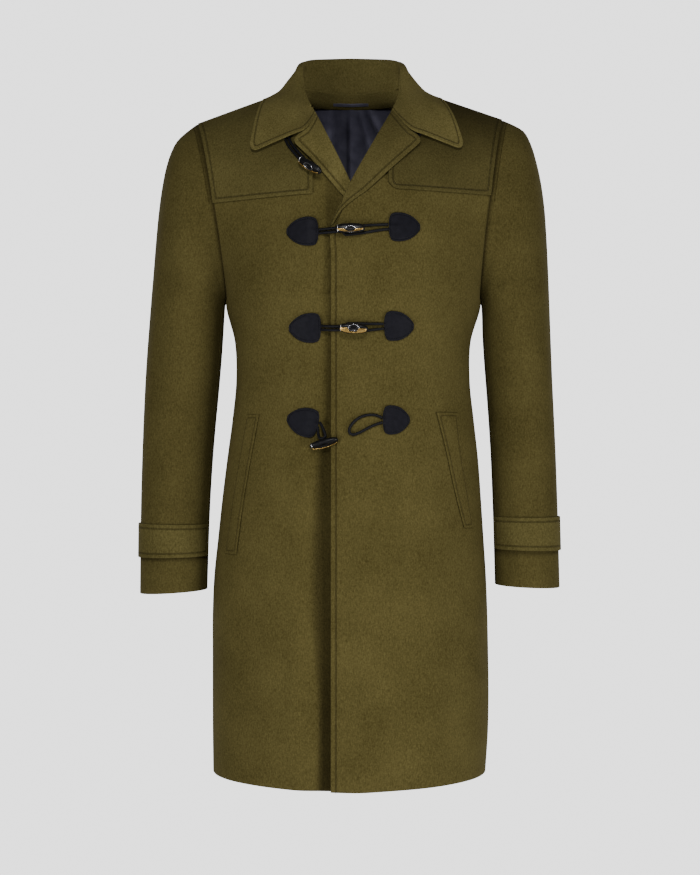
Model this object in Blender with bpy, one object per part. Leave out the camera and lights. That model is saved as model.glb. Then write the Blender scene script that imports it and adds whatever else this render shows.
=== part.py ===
"""Duffle coat in olive melton wool, filled out as if worn.

Every cut panel is a thin wall of its own. Sizes are in millimetres and turned into metres when a mesh
is made. +Z is up, the fronts face -Y and +X is the wearer's left. The origin lies between the
shoulders, at the height where a wearer's neck and shoulders hold the coat up.
"""

import math
from collections import namedtuple

import bpy
from mathutils import Vector
from mathutils.bvhtree import BVHTree

METRE = 0.001                     # one millimetre in metres
RIGHT, LEFT = -1, 1               # the wearer's sides, as signs of X
FRONT, BACK = -1, 1               # faces of the coat, as signs of Y
UP = Vector((0, 0, 1))

# ---------------------------------------------------------------- cloth and trim, thicknesses and gaps
WOOL = 2.5                        # melton panel
COLLAR_WOOL = 3.0                 # two layers pressed together
FOLD_WOOL = 2.2                   # the same where the collar folds over
TIGHT_WOOL = 0.8                  # and where that fold is pressed flat towards the gorge
LINING = 1.0
LEATHER = 2.0
GAP = 0.4                         # between pieces that lie on each other
SEAM = 0.2                        # each panel stops this short of its seam line

# ---------------------------------------------------------------- driving sizes of the body
HEM_Z = -998.0                    # hem at the side seams
HEM_DIP = 8.0                     # the hem hangs lower than that at centre front
DIP_START_Z = -800.0              # the dip fades out upwards to here
ARMPIT_Z = -302.0
SQUARENESS = 2.3                  # superellipse exponent of the body's horizontal sections
CENTRE_TOP_Z = 45.0               # where the shoulder lines, carried on, would meet at the centre
CENTRE_ROUND = 0.15               # how softly they turn there, as a share of the half width
CENTRE_TOP_Y = 14.0
LAP = 29.0                        # the fronts cross the centre line by this much

Level = namedtuple("Level", "z right left front back")
BODY = (                          # height, half widths to each side, depths to the front and back
    Level(-998, 206, 201, 160, 152),
    Level(-904, 207, 206, 158, 151),
    Level(-760, 207, 204, 154, 147),
    Level(-616, 195, 196, 148, 140),
    Level(-508, 182, 188, 139, 124),
    Level(-436, 173, 179, 134, 114),
    Level(-390, 171, 177, 136, 113),
    Level(-346, 176, 181, 143, 123),
    Level(-302, 187, 194, 150, 136),
    Level(-231, 190, 196, 147, 141),   # above the armpit, only to lead the curves smoothly on
)

Centre = namedtuple("Centre", "w front back")
CENTRE_LINE = (                   # share of the way from armpit to shoulder, and depth at the centre
    Centre(-0.12, 143, 123),
    Centre(0.00, 150, 136),
    Centre(0.20, 147, 141),
    Centre(0.40, 138, 140),
    Centre(0.55, 125, 134),
    Centre(0.70, 102, 120),
    Centre(0.85, 62, 94),
    Centre(0.92, 33, 74),
    Centre(1.00, -CENTRE_TOP_Y, CENTRE_TOP_Y),
)

Armhole = namedtuple("Armhole", "top_x top_z")
ARMHOLES = {RIGHT: Armhole(232, -33), LEFT: Armhole(229, -27)}
ARMHOLE_TOP_Y = 3.0
ARMHOLE_DEPTH = {FRONT: 68.0, BACK: 74.0}
ARMHOLE_SCOOP = {FRONT: 9.0, BACK: 3.0}   # how far the armhole curves in towards the body
ARMHOLE_STEPS = 10                # grid steps from armpit to shoulder point
BODY_STEPS = 12                   # grid steps from hem to armpit
FRONT_COLUMNS = 12
BACK_COLUMNS = 9
HALF_WIDTH = 230.0                # about the shoulders' half width, for searches on the skin
UPPER_HEIGHT = 300.0              # about the height from armpit to shoulder, for the same
NUDGE, ROUNDS = 0.7, 60           # how far each round of such a search goes, and how many there are


def smooth(xs, ys, x):
    """A curve through the points (xs, ys) that never overshoots them, read at x."""
    if x <= xs[0]:
        return ys[0]
    if x >= xs[-1]:
        return ys[-1]
    k = max(i for i in range(len(xs) - 1) if xs[i] <= x)
    slopes = [(ys[i + 1] - ys[i]) / (xs[i + 1] - xs[i]) for i in range(len(xs) - 1)]

    def tangent(i):
        if i in (0, len(xs) - 1):
            return slopes[min(i, len(slopes) - 1)]
        before, after = slopes[i - 1], slopes[i]
        return 0.0 if before * after <= 0 else 2 * before * after / (before + after)

    h = xs[k + 1] - xs[k]
    f = (x - xs[k]) / h
    return ((1 + 2 * f) * (1 - f) ** 2 * ys[k] + f * (1 - f) ** 2 * h * tangent(k)
            + f * f * (3 - 2 * f) * ys[k + 1] + f * f * (f - 1) * h * tangent(k + 1))


def column(table, name):
    return [getattr(row, name) for row in table]


def ease(f):
    """0 to 1 with level ends."""
    f = min(max(f, 0.0), 1.0)
    return f * f * (3 - 2 * f)


def mix(a, b, f):
    return a + (b - a) * f


# ---------------------------------------------------------------- the skin: the coat's outer surface
def body_width(side, z):
    return smooth(column(BODY, "z"), column(BODY, "right" if side == RIGHT else "left"), z)


def body_depth(face, z):
    return smooth(column(BODY, "z"), column(BODY, "front" if face == FRONT else "back"), z)


def armhole(side, face, w):
    """Point of the armhole's ring, w from 0 at the armpit to 1 at the shoulder point."""
    hole = ARMHOLES[side]
    rise = 2 * w - 1
    bulge = math.sqrt(max(0.0, 1 - rise * rise))
    x = mix(body_width(side, ARMPIT_Z), hole.top_x, w) - ARMHOLE_SCOOP[face] * bulge
    y = ARMHOLE_TOP_Y * ease(w) + face * ARMHOLE_DEPTH[face] * bulge
    return Vector((side * x, y, mix(ARMPIT_Z, hole.top_z, w)))


def skin(side, face, s, w):
    """Outer surface: s from 0 at the centre to 1 at the side, w from -1 hem, 0 armpit, to 1 shoulder."""
    a = abs(s)
    across = math.sin(a * math.pi / 2) ** (2 / SQUARENESS)
    back_off = 1 - max(0.0, math.cos(a * math.pi / 2)) ** (2 / SQUARENESS)
    if w <= 0:
        z = ARMPIT_Z + w * (ARMPIT_Z - HEM_Z)
        x = body_width(side, z) * across
        y = face * body_depth(face, z) * (1 - back_off)
        if face == FRONT:
            z -= HEM_DIP * (1 - a) ** 2 * ease((DIP_START_Z - z) / (DIP_START_Z - HEM_Z))
    else:
        outer = armhole(side, face, w)
        depth = smooth(column(CENTRE_LINE, "w"),
                       column(CENTRE_LINE, "front" if face == FRONT else "back"), w)
        boxy = (1 - w) ** 2
        x = abs(outer.x) * mix(a, across, boxy)
        fall = mix(a ** (2 - w), back_off, boxy)
        y = mix(face * depth, outer.y, fall)
        slope = math.hypot(a, CENTRE_ROUND) - CENTRE_ROUND
        z = mix(mix(ARMPIT_Z, CENTRE_TOP_Z, w), outer.z, slope / (math.hypot(1, CENTRE_ROUND) - CENTRE_ROUND))
    return Vector((side * math.copysign(x, s), y, z))


def outward(side, face, s, w, step=0.004):
    """Unit normal of the skin, pointing out of the coat."""
    along_s = skin(side, face, min(s + step, 1), w) - skin(side, face, s - step, w)
    along_w = skin(side, face, s, min(w + step, 1)) - skin(side, face, s, max(w - step, -1))
    normal = along_s.cross(along_w).normalized()
    return normal * (side * -face) if normal.length else Vector((0, face, 0))


def locate(side, face, x, z):
    """The s and w where the skin has this x (in the side's own sense) and z."""
    s, w = 0.3, 0.0
    for _ in range(ROUNDS):
        here = skin(side, face, s, w)
        s += NUDGE * (x - side * here.x) / HALF_WIDTH
        w += NUDGE * (z - here.z) / (UPPER_HEIGHT if w > 0 else ARMPIT_Z - HEM_Z)
        s, w = min(max(s, -1), 1), min(max(w, -1), 1)
    return s, w


# ---------------------------------------------------------------- sleeves
Ring = namedtuple("Ring", "out_x out_z in_x in_z depth y")
SLEEVES = {                       # sections down each sleeve: outer point, inner point, half depth, y
    RIGHT: (
        Ring(232, -33, 187, -302, 71, 0),
        Ring(261, -58, 188.5, -305, 72, 0),
        Ring(277, -98, 189, -311, 71, 0),
        Ring(288, -165, 190, -322, 69, 1),
        Ring(296, -252, 191.5, -345, 66, 4),
        Ring(303, -335, 194.5, -387, 63, 6),
        Ring(308.5, -415, 199, -440, 59, 5),
        Ring(312, -515, 206, -524, 55, -3),
        Ring(313.5, -620, 211, -622, 52, -14),
        Ring(313.5, -733, 213.5, -727, 50, -24),
    ),
    LEFT: (
        Ring(229, -27, 194, -302, 71, 0),
        Ring(259, -43, 195.3, -305, 72, 0),
        Ring(277, -86, 196, -311, 71, 0),
        Ring(289.5, -155, 196.7, -322, 69, 1),
        Ring(295.5, -245, 197.4, -345, 66, 4),
        Ring(299, -330, 200, -387, 63, 6),
        Ring(302, -412, 204, -440, 59, 5),
        Ring(306, -515, 209, -524, 55, -3),
        Ring(308.5, -620, 212, -620, 52, -14),
        Ring(310, -724, 214, -720, 50, -24),
    ),
}
SCOOP_FADES_AT = 3.0              # rings below the armhole where its scoop is gone
ARMHOLE_FADES_AT = 2.0            # rings below the armhole where the two depths become one
ARMPIT_GAP = 0.6                  # sleeve's clearance from the body at the armpit
SLEEVE_STEP = 18                  # degrees between the lines that run down a sleeve
FRONT_SEAM_ANGLE = -72            # the under sleeve spans from this angle on the front, through
BACK_SEAM_ANGLE = -36             # the inner side at -90, to this angle on the back


def sleeve_point(side, ring, angle, face, lift=0.0):
    """Point of a sleeve at a ring number, at an angle from -90 (inner side) to 90 (outer side)."""
    rows = SLEEVES[side]
    places = range(len(rows))
    here = Ring(*(smooth(places, column(rows, name), ring) for name in Ring._fields))
    rise, bulge = math.sin(math.radians(angle)), max(0.0, math.cos(math.radians(angle)))
    at_armhole = ease(1 - ring / ARMHOLE_FADES_AT)
    depth = mix(here.depth, ARMHOLE_DEPTH[face], at_armhole) + lift
    share = (1 + rise) / 2
    outer_x, inner_x = here.out_x + lift, here.in_x - lift
    x = mix(inner_x, outer_x, share) - ARMHOLE_SCOOP[face] * bulge * ease(1 - ring / SCOOP_FADES_AT)
    x += ARMPIT_GAP * (1 - share) * ease(1 - ring / SCOOP_FADES_AT)
    y = mix(here.y, ARMHOLE_TOP_Y * ease(share), at_armhole) + face * depth * bulge
    return Vector((side * x, y, mix(here.in_z, here.out_z, share)))


def sleeve_outward(side, ring, angle, face, step=0.05):
    """Unit normal of a sleeve, pointing away from its inside."""
    last = len(SLEEVES[side]) - 1
    a, b = max(angle - 1, -90), min(angle + 1, 90)
    around = sleeve_point(side, ring, b, face) - sleeve_point(side, ring, a, face)
    down = (sleeve_point(side, min(ring + step, last), angle, face)
            - sleeve_point(side, max(ring - step, 0), angle, face))
    if angle in (-90, 90):
        around = Vector((0, face * angle, 0))
    normal = around.cross(down).normalized()
    middle = (sleeve_point(side, ring, 90, face) + sleeve_point(side, ring, -90, face)) / 2
    return normal if normal.dot(sleeve_point(side, ring, angle, face) - middle) > 0 else -normal


# ---------------------------------------------------------------- fronts: edges, lap and roll line
RollPoint = namedtuple("RollPoint", "z x")
ROLL_LINES = {                    # inner edge of each front, x measured towards its own side
    LEFT: (RollPoint(-201, -LAP), RollPoint(-134, 0), RollPoint(-24, 59), RollPoint(25, 78)),
    RIGHT: (RollPoint(-201, -LAP), RollPoint(-134, 0), RollPoint(-30, 50), RollPoint(25, 78)),
}
NECK_S = 0.34                     # where the shoulder seam meets the neckline
NECK_POINT_Z = 25.0
BACK_NECK_Z = 22.0                # height of the neckline at centre back
BREAK_ROW, BREAK_SHIFT = 4, 0.055  # this armhole row dips at its inner end to reach the break
LAP_DEPTHS = ((-1000, 17), (-620, 16), (-420, 10), (-201, 9.5), (-134, 9), (-100, 6), (-50, 0))
LAP_SLOPE = (62, 32)              # the right front sinks under the left between these x


def inner_edge(side, z):
    line = ROLL_LINES[side]
    if z <= line[0].z:
        return line[0].x
    for low, high in zip(line, line[1:]):
        if z <= high.z:
            return mix(low.x, high.x, (z - low.z) / (high.z - low.z))
    return line[-1].x


def lap_sink(side, x, z):
    """How far the right front lies behind the skin, to pass under the left one."""
    if side == LEFT:
        return 0.0
    depths = smooth([row[0] for row in LAP_DEPTHS], [row[1] for row in LAP_DEPTHS], z)
    return depths * ease((LAP_SLOPE[0] - x) / LAP_SLOPE[1])


def outward_shared(side, face, s, w):
    """The skin's normal, shared by front and back along the side and shoulder seams."""
    normal = outward(side, face, s, w)
    if (s >= 1 and w <= 0) or w >= 1:
        normal = (normal + outward(side, -face, s, w)).normalized()
    return normal


def lifted(side, face, s, w, lift):
    """Skin point moved out by lift; on the right front it follows the sink under the lap."""
    point = skin(side, face, s, w)
    if face == FRONT:
        lift -= lap_sink(side, side * point.x, point.z)
    return point + outward_shared(side, face, s, w) * lift


def on_front(side, x, z, lift):
    s, w = locate(side, FRONT, x, z)
    return lifted(side, FRONT, s, w, lift)


def edge_s(side, w):
    """Where a row of the front meets its inner edge."""
    s = 0.0
    for _ in range(ROUNDS):
        here = skin(side, FRONT, s, w)
        s += NUDGE * (inner_edge(side, here.z) - side * here.x) / HALF_WIDTH
    return s


def armhole_w(row):
    return (1 + math.sin(math.radians(-90 + SLEEVE_STEP * row))) / 2


# ---------------------------------------------------------------- meshes
def material(name, colour, roughness, metallic=0.0):
    made = bpy.data.materials.new(name)
    made.use_nodes = True
    shader = made.node_tree.nodes["Principled BSDF"]
    shader.inputs["Base Color"].default_value = (*colour, 1)
    shader.inputs["Roughness"].default_value = roughness
    shader.inputs["Metallic"].default_value = metallic
    return made


def mesh_object(name, points, faces, made_of):
    mesh = bpy.data.meshes.new(name)
    mesh.from_pydata([point * METRE for point in points], [], faces)
    mesh.validate()
    mesh.shade_smooth()
    mesh.set_sharp_from_angle(angle=math.radians(40))
    mesh.materials.append(made_of)
    thing = bpy.data.objects.new(name, mesh)
    bpy.context.scene.collection.objects.link(thing)
    return thing


def trimmed(rows, amount, edges):
    """Draws the named edges of a grid in along the grid's own lines."""
    rows = [list(row) for row in rows]
    if "first" in edges:
        for row in rows:
            row[0] += (row[1] - row[0]).normalized() * amount
    if "last" in edges:
        for row in rows:
            row[-1] += (row[-2] - row[-1]).normalized() * amount
    if "bottom" in edges:
        rows[0] = [a + (b - a).normalized() * amount for a, b in zip(rows[0], rows[1])]
    if "top" in edges:
        rows[-1] = [a + (b - a).normalized() * amount for a, b in zip(rows[-1], rows[-2])]
    return rows


def wall(name, outer, inner, made_of):
    """Closed wall between two grids of the same size."""
    high, wide = len(outer), len(outer[0])
    points = [point for row in outer for point in row] + [point for row in inner for point in row]
    shift = high * wide

    def at(i, j):
        return i * wide + j

    faces = []
    for i in range(high - 1):
        for j in range(wide - 1):
            a, b, c, d = at(i, j), at(i, j + 1), at(i + 1, j + 1), at(i + 1, j)
            for p, q, r in ((a, b, c), (a, c, d)):
                faces.append((p, q, r))
                faces.append((shift + r, shift + q, shift + p))
    rim = [at(0, j) for j in range(wide)] + [at(i, wide - 1) for i in range(1, high)]
    rim += [at(high - 1, j) for j in range(wide - 2, -1, -1)] + [at(i, 0) for i in range(high - 2, 0, -1)]
    for a, b in zip(rim, rim[1:] + rim[:1]):
        faces.append((b, a, shift + a, shift + b))
    if signed_volume(points, faces) < 0:
        faces = [face[::-1] for face in faces]
    return mesh_object(name, points, faces, made_of)


def signed_volume(points, faces):
    total = 0.0
    for face in faces:
        for b, c in zip(face[1:-1], face[2:]):
            total += points[face[0]].dot(points[b].cross(points[c]))
    return total


def grid_normals(rows, flip):
    """Unit normals of a grid of points, from its neighbours."""
    high, wide = len(rows), len(rows[0])
    normals = []
    for i in range(high):
        normals.append([])
        for j in range(wide):
            along = rows[i][min(j + 1, wide - 1)] - rows[i][max(j - 1, 0)]
            up = rows[min(i + 1, high - 1)][j] - rows[max(i - 1, 0)][j]
            normals[-1].append(along.cross(up).normalized() * (-1 if flip else 1))
    return normals


def moved(rows, normals, amount):
    return [[p + n * amount for p, n in zip(*pair)] for pair in zip(rows, normals)]


# ---------------------------------------------------------------- the coat's cut panels
def panel_rows(side, face):
    """(s, w) of every grid point of a front or a back half."""
    columns = FRONT_COLUMNS if face == FRONT else BACK_COLUMNS
    rows = []
    for step in range(BODY_STEPS):
        w = -1 + step / BODY_STEPS
        first = edge_s(side, w) if face == FRONT else 0.0
        rows.append([(mix(first, 1, j / columns), w) for j in range(columns + 1)])
    for step in range(ARMHOLE_STEPS + 1):
        w = armhole_w(step)
        if face == FRONT:
            inner_w = w - BREAK_SHIFT * max(0.0, 1 - abs(step - BREAK_ROW) / 3)
            first = edge_s(side, inner_w)
            rows.append([(mix(first, 1, j / columns), mix(inner_w, w, j / columns))
                         for j in range(columns + 1)])
        else:
            rows.append([(s, w * mix(neck_top(s), 1, ease((s - NECK_S) / 0.3)) if w < 1 else neck_top(s))
                         for s in back_columns()])
    if face == BACK:
        rows[:BODY_STEPS] = [[(s, row[0][1]) for s in back_columns()] for row in rows[:BODY_STEPS]]
    return rows


def back_columns():
    """Columns of a back half; the first few lie between the centre and the neck point."""
    inside = 4
    outside = BACK_COLUMNS - inside
    return ([NECK_S * j / inside for j in range(inside)]
            + [mix(NECK_S, 1, j / outside) for j in range(outside + 1)])


def neck_top(s):
    """Height of the back's upper edge: the neckline inside the neck point, the shoulder seam outside."""
    if s >= NECK_S:
        return 1.0
    return back_w_at(LEFT, s, mix(BACK_NECK_Z, NECK_POINT_Z, (s / NECK_S) ** 2))


def panel(name, side, face, made_of):
    places = panel_rows(side, face)
    outer = [[lifted(side, face, s, w, 0) for s, w in row] for row in places]
    normals = [[outward_shared(side, face, s, w) for s, w in row] for row in places]
    for step in range(1, ARMHOLE_STEPS + 1):
        angle = -90 + SLEEVE_STEP * step
        across = sleeve_outward(side, 0, angle, face)
        if normals[BODY_STEPS + step][-1].dot(across) > 0.3:
            normals[BODY_STEPS + step][-1] = (normals[BODY_STEPS + step][-1] + across).normalized()
    inner = moved(outer, normals, -WOOL)
    edges = ("last", "top") if face == FRONT else ("first", "last", "top")
    return wall(name, trimmed(outer, SEAM, edges), trimmed(inner, SEAM, edges), made_of)


def sleeve(name, side, spans, made_of):
    """Part of a sleeve between seams; spans lists (angle, face) around it."""
    last = len(SLEEVES[side]) - 1
    outer, inner = [], []
    for step in range(2 * last + 1):
        ring = step / 2
        row = [sleeve_point(side, ring, angle, face) for angle, face in spans]
        normals = [sleeve_outward(side, ring, angle, face) for angle, face in spans]
        if step == 0:
            for k, (angle, face) in enumerate(spans):
                body = outward_shared(side, face, 1, (1 + math.sin(math.radians(angle))) / 2)
                if angle > -90 and body.dot(normals[k]) > 0.3:
                    normals[k] = (normals[k] + body).normalized()
        outer.append(row)
        inner.append([p - n * WOOL for p, n in zip(row, normals)])
    edges = ("first", "last", "bottom")
    return wall(name, trimmed(outer, SEAM, edges), trimmed(inner, SEAM, edges), made_of)


def sleeve_spans():
    """Angles around the top and the under sleeve, each from its front seam to its back seam."""
    front = [(angle, FRONT) for angle in range(FRONT_SEAM_ANGLE, 91, SLEEVE_STEP)]
    back = [(angle, BACK) for angle in range(90 - SLEEVE_STEP, BACK_SEAM_ANGLE - 1, -SLEEVE_STEP)]
    under = [(angle, FRONT) for angle in range(FRONT_SEAM_ANGLE, -91, -SLEEVE_STEP)]
    under += [(angle, BACK) for angle in range(-90 + SLEEVE_STEP, BACK_SEAM_ANGLE + 1, SLEEVE_STEP)]
    return front + back, under


# ---------------------------------------------------------------- lapels
LapelEdge = namedtuple("LapelEdge", "v x z")
LAPELS = {                        # outer edge from the tip (v = 0) to the break (v = 1), x to its own side
    LEFT: (LapelEdge(0, 102.5, -75), LapelEdge(0.42, 51, -123), LapelEdge(0.68, 20, -152),
           LapelEdge(0.86, -9, -174), LapelEdge(1, -LAP + 4, -199)),
    RIGHT: (LapelEdge(0, 84, -76), LapelEdge(0.42, 45, -116), LapelEdge(0.68, 13.5, -153),
            LapelEdge(0.86, -10, -176), LapelEdge(1, -LAP + 4, -199)),
}
Corner = namedtuple("Corner", "x z")
GORGES = {LEFT: Corner(59, -24), RIGHT: Corner(50, -30)}    # gorge seam meets the roll line
NOTCHES = {LEFT: Corner(79, -60), RIGHT: Corner(58.5, -60)}
BREAK_Z = -201.0
LAPEL_LIFT = 3.6                  # outer side above the front, at the roll line
LAPEL_SWELL = 10.0                # more than that along the outer edge near the tip
LAPEL_ROWS, LAPEL_COLUMNS = 9, 4
NOTCH_SHARE = 0.42                # of the way from the gorge to the lapel's tip
GORGE_SHARE = 0.26                # of the way from the gorge to the collar's tip


def polyline(corners, share):
    """Point of a path of corners, share of the way along by even steps between its stations."""
    stations = [corner[0] for corner in corners]
    for low, high in zip(corners, corners[1:]):
        if share <= high[0]:
            f = (share - low[0]) / (high[0] - low[0])
            return Vector((mix(low[1], high[1], f), mix(low[2], high[2], f)))
    return Vector(corners[-1][1:]) if share > stations[-1] else Vector(corners[0][1:])


def lapel_place(side, u, v):
    """x and z of a lapel's point, u from the roll line to the outer edge, v from the top to the break."""
    roll_z = mix(GORGES[side].z, BREAK_Z, v)
    roll = Vector((inner_edge(side, roll_z), roll_z))
    rows = LAPELS[side]
    stations = column(rows, "v")
    edge = Vector((smooth(stations, column(rows, "x"), v), smooth(stations, column(rows, "z"), v)))
    top = polyline(((0, *GORGES[side]), (NOTCH_SHARE, *NOTCHES[side]), (1, rows[0].x, rows[0].z)), u)
    straight = Vector(GORGES[side]).lerp(Vector((rows[0].x, rows[0].z)), u)
    return roll.lerp(edge, u) + (top - straight) * (1 - v) ** 3


def lapel_lift(u, v):
    return LAPEL_LIFT + LAPEL_SWELL * ease(u * 2.2) * (1 - v) ** 1.5 * ease((1 - v) * 1.4)


def lapel(name, side, made_of):
    outer = []
    for i in range(LAPEL_ROWS + 1):
        v = i / LAPEL_ROWS
        places = [lapel_place(side, j / LAPEL_COLUMNS, v) for j in range(LAPEL_COLUMNS + 1)]
        outer.append([on_front(side, x, z, lapel_lift(j / LAPEL_COLUMNS, v))
                      for j, (x, z) in enumerate(places)])
    inner = [[on_front_under(side, point, WOOL) for point in row] for row in outer]
    return wall(name, trimmed(outer, GAP, ("bottom",)), trimmed(inner, GAP, ("bottom",)), made_of)


def on_front_under(side, point, depth):
    """The point that lies depth behind a point near the front, square to the skin."""
    s, w = locate(side, FRONT, side * point.x, point.z)
    return point - outward_shared(side, FRONT, s, w) * depth


# ---------------------------------------------------------------- collar
CollarRow = namedtuple("CollarRow", "u fold_x fold_y fold_z edge_x edge_y edge_z")
COLLARS = {                       # from centre back (u = 0) over the shoulder (0.55) to the gorge (1)
    RIGHT: (
        CollarRow(0.00, 0, 67, 81, 0, 104, 3),
        CollarRow(0.20, 32, 64, 80, 52, 96, 3),
        CollarRow(0.38, 60, 46, 75, 96, 70, 2),
        CollarRow(0.55, 72, 12, 60, 122, 6, 2),
        CollarRow(0.72, 70, -17, 32, 137, -45, -28),
        CollarRow(0.87, 58, -50, 2, 144, -75, -64),
        CollarRow(1.00, 50, -77, -28, 147, -92, -95),
    ),
    LEFT: (
        CollarRow(0.00, 0, 67, 81, 0, 104, 3),
        CollarRow(0.20, 32, 64, 80, 52, 96, 3),
        CollarRow(0.38, 61, 46, 75, 98, 70, 2),
        CollarRow(0.55, 74, 12, 60, 123, 6, 2),
        CollarRow(0.72, 71, -17, 31, 147, -42, -25),
        CollarRow(0.87, 65, -44, 6, 159, -69, -56),
        CollarRow(1.00, 59, -70, -22, 165, -88, -90),
    ),
}
COLLAR_STEPS = 12                 # grid steps from centre back to each gorge
FOLD_RADIUS = 3.4
LEAF_STEPS = 5
COLLAR_CLEARANCE = 0.9            # of the collar's hidden side above whatever lies on the front
STAND_INSET = 4.0                 # of the stand's visible side from the neckline's edge
NECK_MIDDLE_Y = 5.0
STAND_GAP = 1.6                   # between the neckline's edge and the stand
STAND_HUMP = 2.0                  # more than that where the seam climbs over the front's edge
FLAT_FROM = 0.60                  # from here to the gorge the fold opens out into a flat leaf
FOLD_POINTS = 5                   # points of the stand and the fold


def neck_seam(side, u):
    """Seam between neck and collar: u from 0 at centre back, 0.55 neck point, to 1 at the gorge."""
    neck_u = 0.55
    if u <= neck_u:
        s = NECK_S * math.sin(u / neck_u * math.pi / 2)
        face, w = BACK, neck_top(s)
    else:
        z = mix(NECK_POINT_Z, GORGES[side].z, (u - neck_u) / (1 - neck_u))
        s, w = locate(side, FRONT, inner_edge(side, z), z)
        face = FRONT
    brim, normal = skin(side, face, s, w), outward_shared(side, face, s, w)
    hump = STAND_HUMP * ease(1 - abs(u - neck_u - 0.04) / 0.12)
    standing = brim + into_neck(brim) * STAND_INSET + UP * (STAND_GAP + hump)
    return standing.lerp(brim + normal * LAPEL_LIFT, ease((u - neck_u) / 0.15))


def into_neck(brim):
    """Level direction from the neckline towards the middle of the neck."""
    return Vector((-brim.x, NECK_MIDDLE_Y - brim.y, 0)).normalized()


def collar_line(side, u, shell):
    """One line across the collar, from its seam up the stand, round the fold and down the fall."""
    rows = COLLARS[side]
    stations = column(rows, "u")
    values = [smooth(stations, column(rows, name), u) for name in CollarRow._fields[1:]]
    fold = Vector((side * values[0], values[1], values[2]))
    edge = Vector((side * values[3], values[4], values[5]))
    seam = neck_seam(side, u)
    height = (fold - seam).length
    rise = (fold - seam).normalized()
    out = (edge - fold)
    out = (out - rise * out.dot(rise)).normalized()
    radius = min(FOLD_RADIUS, 0.35 * height)
    centre = fold - rise * radius + out * radius
    line = [seam, seam.lerp(fold, 0.5)]
    line += [centre - out * radius * math.cos(turn) + rise * radius * math.sin(turn)
             for turn in (0, math.pi / 3, 2 * math.pi / 3)]
    line += [line[-1].lerp(edge, step / LEAF_STEPS) for step in range(1, LEAF_STEPS + 1)]
    flat = flat_line(side, u, seam, edge)
    line = [folded.lerp(level, ease((u - FLAT_FROM) / (0.96 - FLAT_FROM)))
            for folded, level in zip(line, flat)]
    return line[:FOLD_POINTS] + [pushed_out(point, shell, COLLAR_WOOL + COLLAR_CLEARANCE)
                                 for point in line[FOLD_POINTS:]]


def flat_line(side, u, seam, edge):
    """The collar's line laid flat from seam to edge, bent along the gorge seam at the gorge itself."""
    shares = [0.03 * k for k in range(FOLD_POINTS)]
    shares += [mix(shares[-1], 1, step / LEAF_STEPS) for step in range(1, LEAF_STEPS + 1)]
    tip = COLLARS[side][-1]
    gorge, notch = GORGES[side], NOTCHES[side]
    line = []
    for share in shares:
        point = seam.lerp(edge, share)
        x, z = polyline(((0, *gorge), (GORGE_SHARE, *notch), (1, tip.edge_x, tip.edge_z)), share)
        bent = on_front(side, x, z, lapel_lift(share / GORGE_SHARE * NOTCH_SHARE, 0))
        line.append(point.lerp(bent, ease((u - 0.75) / 0.25)))
    return line


def pushed_out(point, shell, clearance):
    """Keeps a point at least the clearance outside the shell."""
    near, normal, _, _ = shell.find_nearest(point)
    height = (point - near).dot(normal)
    return point + normal * (clearance - height) if height < clearance else point


def shell_tree():
    """What the collar lies on: the skin of fronts and backs, lifted over the yokes and the top cords."""
    points, faces = [], []
    for side in SIDE_NAMES:
        for face in (FRONT, BACK):
            places = panel_rows(side, face)[BODY_STEPS:]
            wide = len(places[0])
            first = len(points)
            for s, w in (place for row in places for place in row):
                over_patch = face == FRONT and w < SHOULDER_W
                points.append(lifted(side, face, s, w, YOKE_TOP + UNDER_LEAF if over_patch else ROUND_ROOM))
            for i in range(len(places) - 1):
                for j in range(wide - 1):
                    a = first + i * wide + j
                    quad = (a, a + 1, a + wide + 1, a + wide)
                    faces.append(quad if side * face < 0 else quad[::-1])
    return BVHTree.FromPolygons(points, faces)


def collar(name, made_of):
    shell = shell_tree()
    us = [step / COLLAR_STEPS for step in range(COLLAR_STEPS, 0, -1)]
    lines = [collar_line(RIGHT, u, shell) for u in us]
    lines.append(collar_line(LEFT, 0, shell))
    lines += [collar_line(LEFT, u, shell) for u in reversed(us)]
    normals = grid_normals(lines, flip=False)
    if normals[COLLAR_STEPS][-2].dot(Vector((0, 1, 0))) < 0:
        normals = grid_normals(lines, flip=True)
    inner = []
    for row, (line, line_normals) in enumerate(zip(lines, normals)):
        turning = ease((abs(row - COLLAR_STEPS) / COLLAR_STEPS - 0.5) / 0.15)
        stand, fold = mix(COLLAR_WOOL, TIGHT_WOOL, turning), mix(FOLD_WOOL, TIGHT_WOOL, turning)
        depths = [stand, stand] + [fold] * (FOLD_POINTS - 2) + [COLLAR_WOOL] * LEAF_STEPS
        inner.append([p - n * depth for p, n, depth in zip(line, line_normals, depths)])
    return wall(name, lines, inner, made_of)


# ---------------------------------------------------------------- yokes and pocket welts
YOKE_LIFT = 1.4                   # clears the flats of the front's facets
YOKE_TOP = YOKE_LIFT + WOOL
UNDER_LEAF = 6.0                  # room over a yoke for the top row's patch and cord
SHOULDER_W = 0.93                 # from here up to the shoulder seam no patch or cord lies under the leaf
ROUND_ROOM = 6.8                  # room over the round of shoulder and back, which the leaf's flats would cut
Yoke = namedtuple("Yoke", "inner_x inner_z outer_z")
YOKES = {LEFT: Yoke(53, -146, -144), RIGHT: Yoke(54.5, -153.5, -156)}
YOKE_OUTER_X = 190                # about where the lower edge meets the armhole
YOKE_OUTER_S, YOKE_TOP_W = 0.993, 0.985    # just clear of the armhole and the shoulder seam
YOKE_ROWS, YOKE_COLUMNS = 7, 9
YOKE_NECK_S = 0.1                 # the yoke ends this far from the neckline, under the collar
Welt = namedtuple("Welt", "z front_x back_x")
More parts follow.
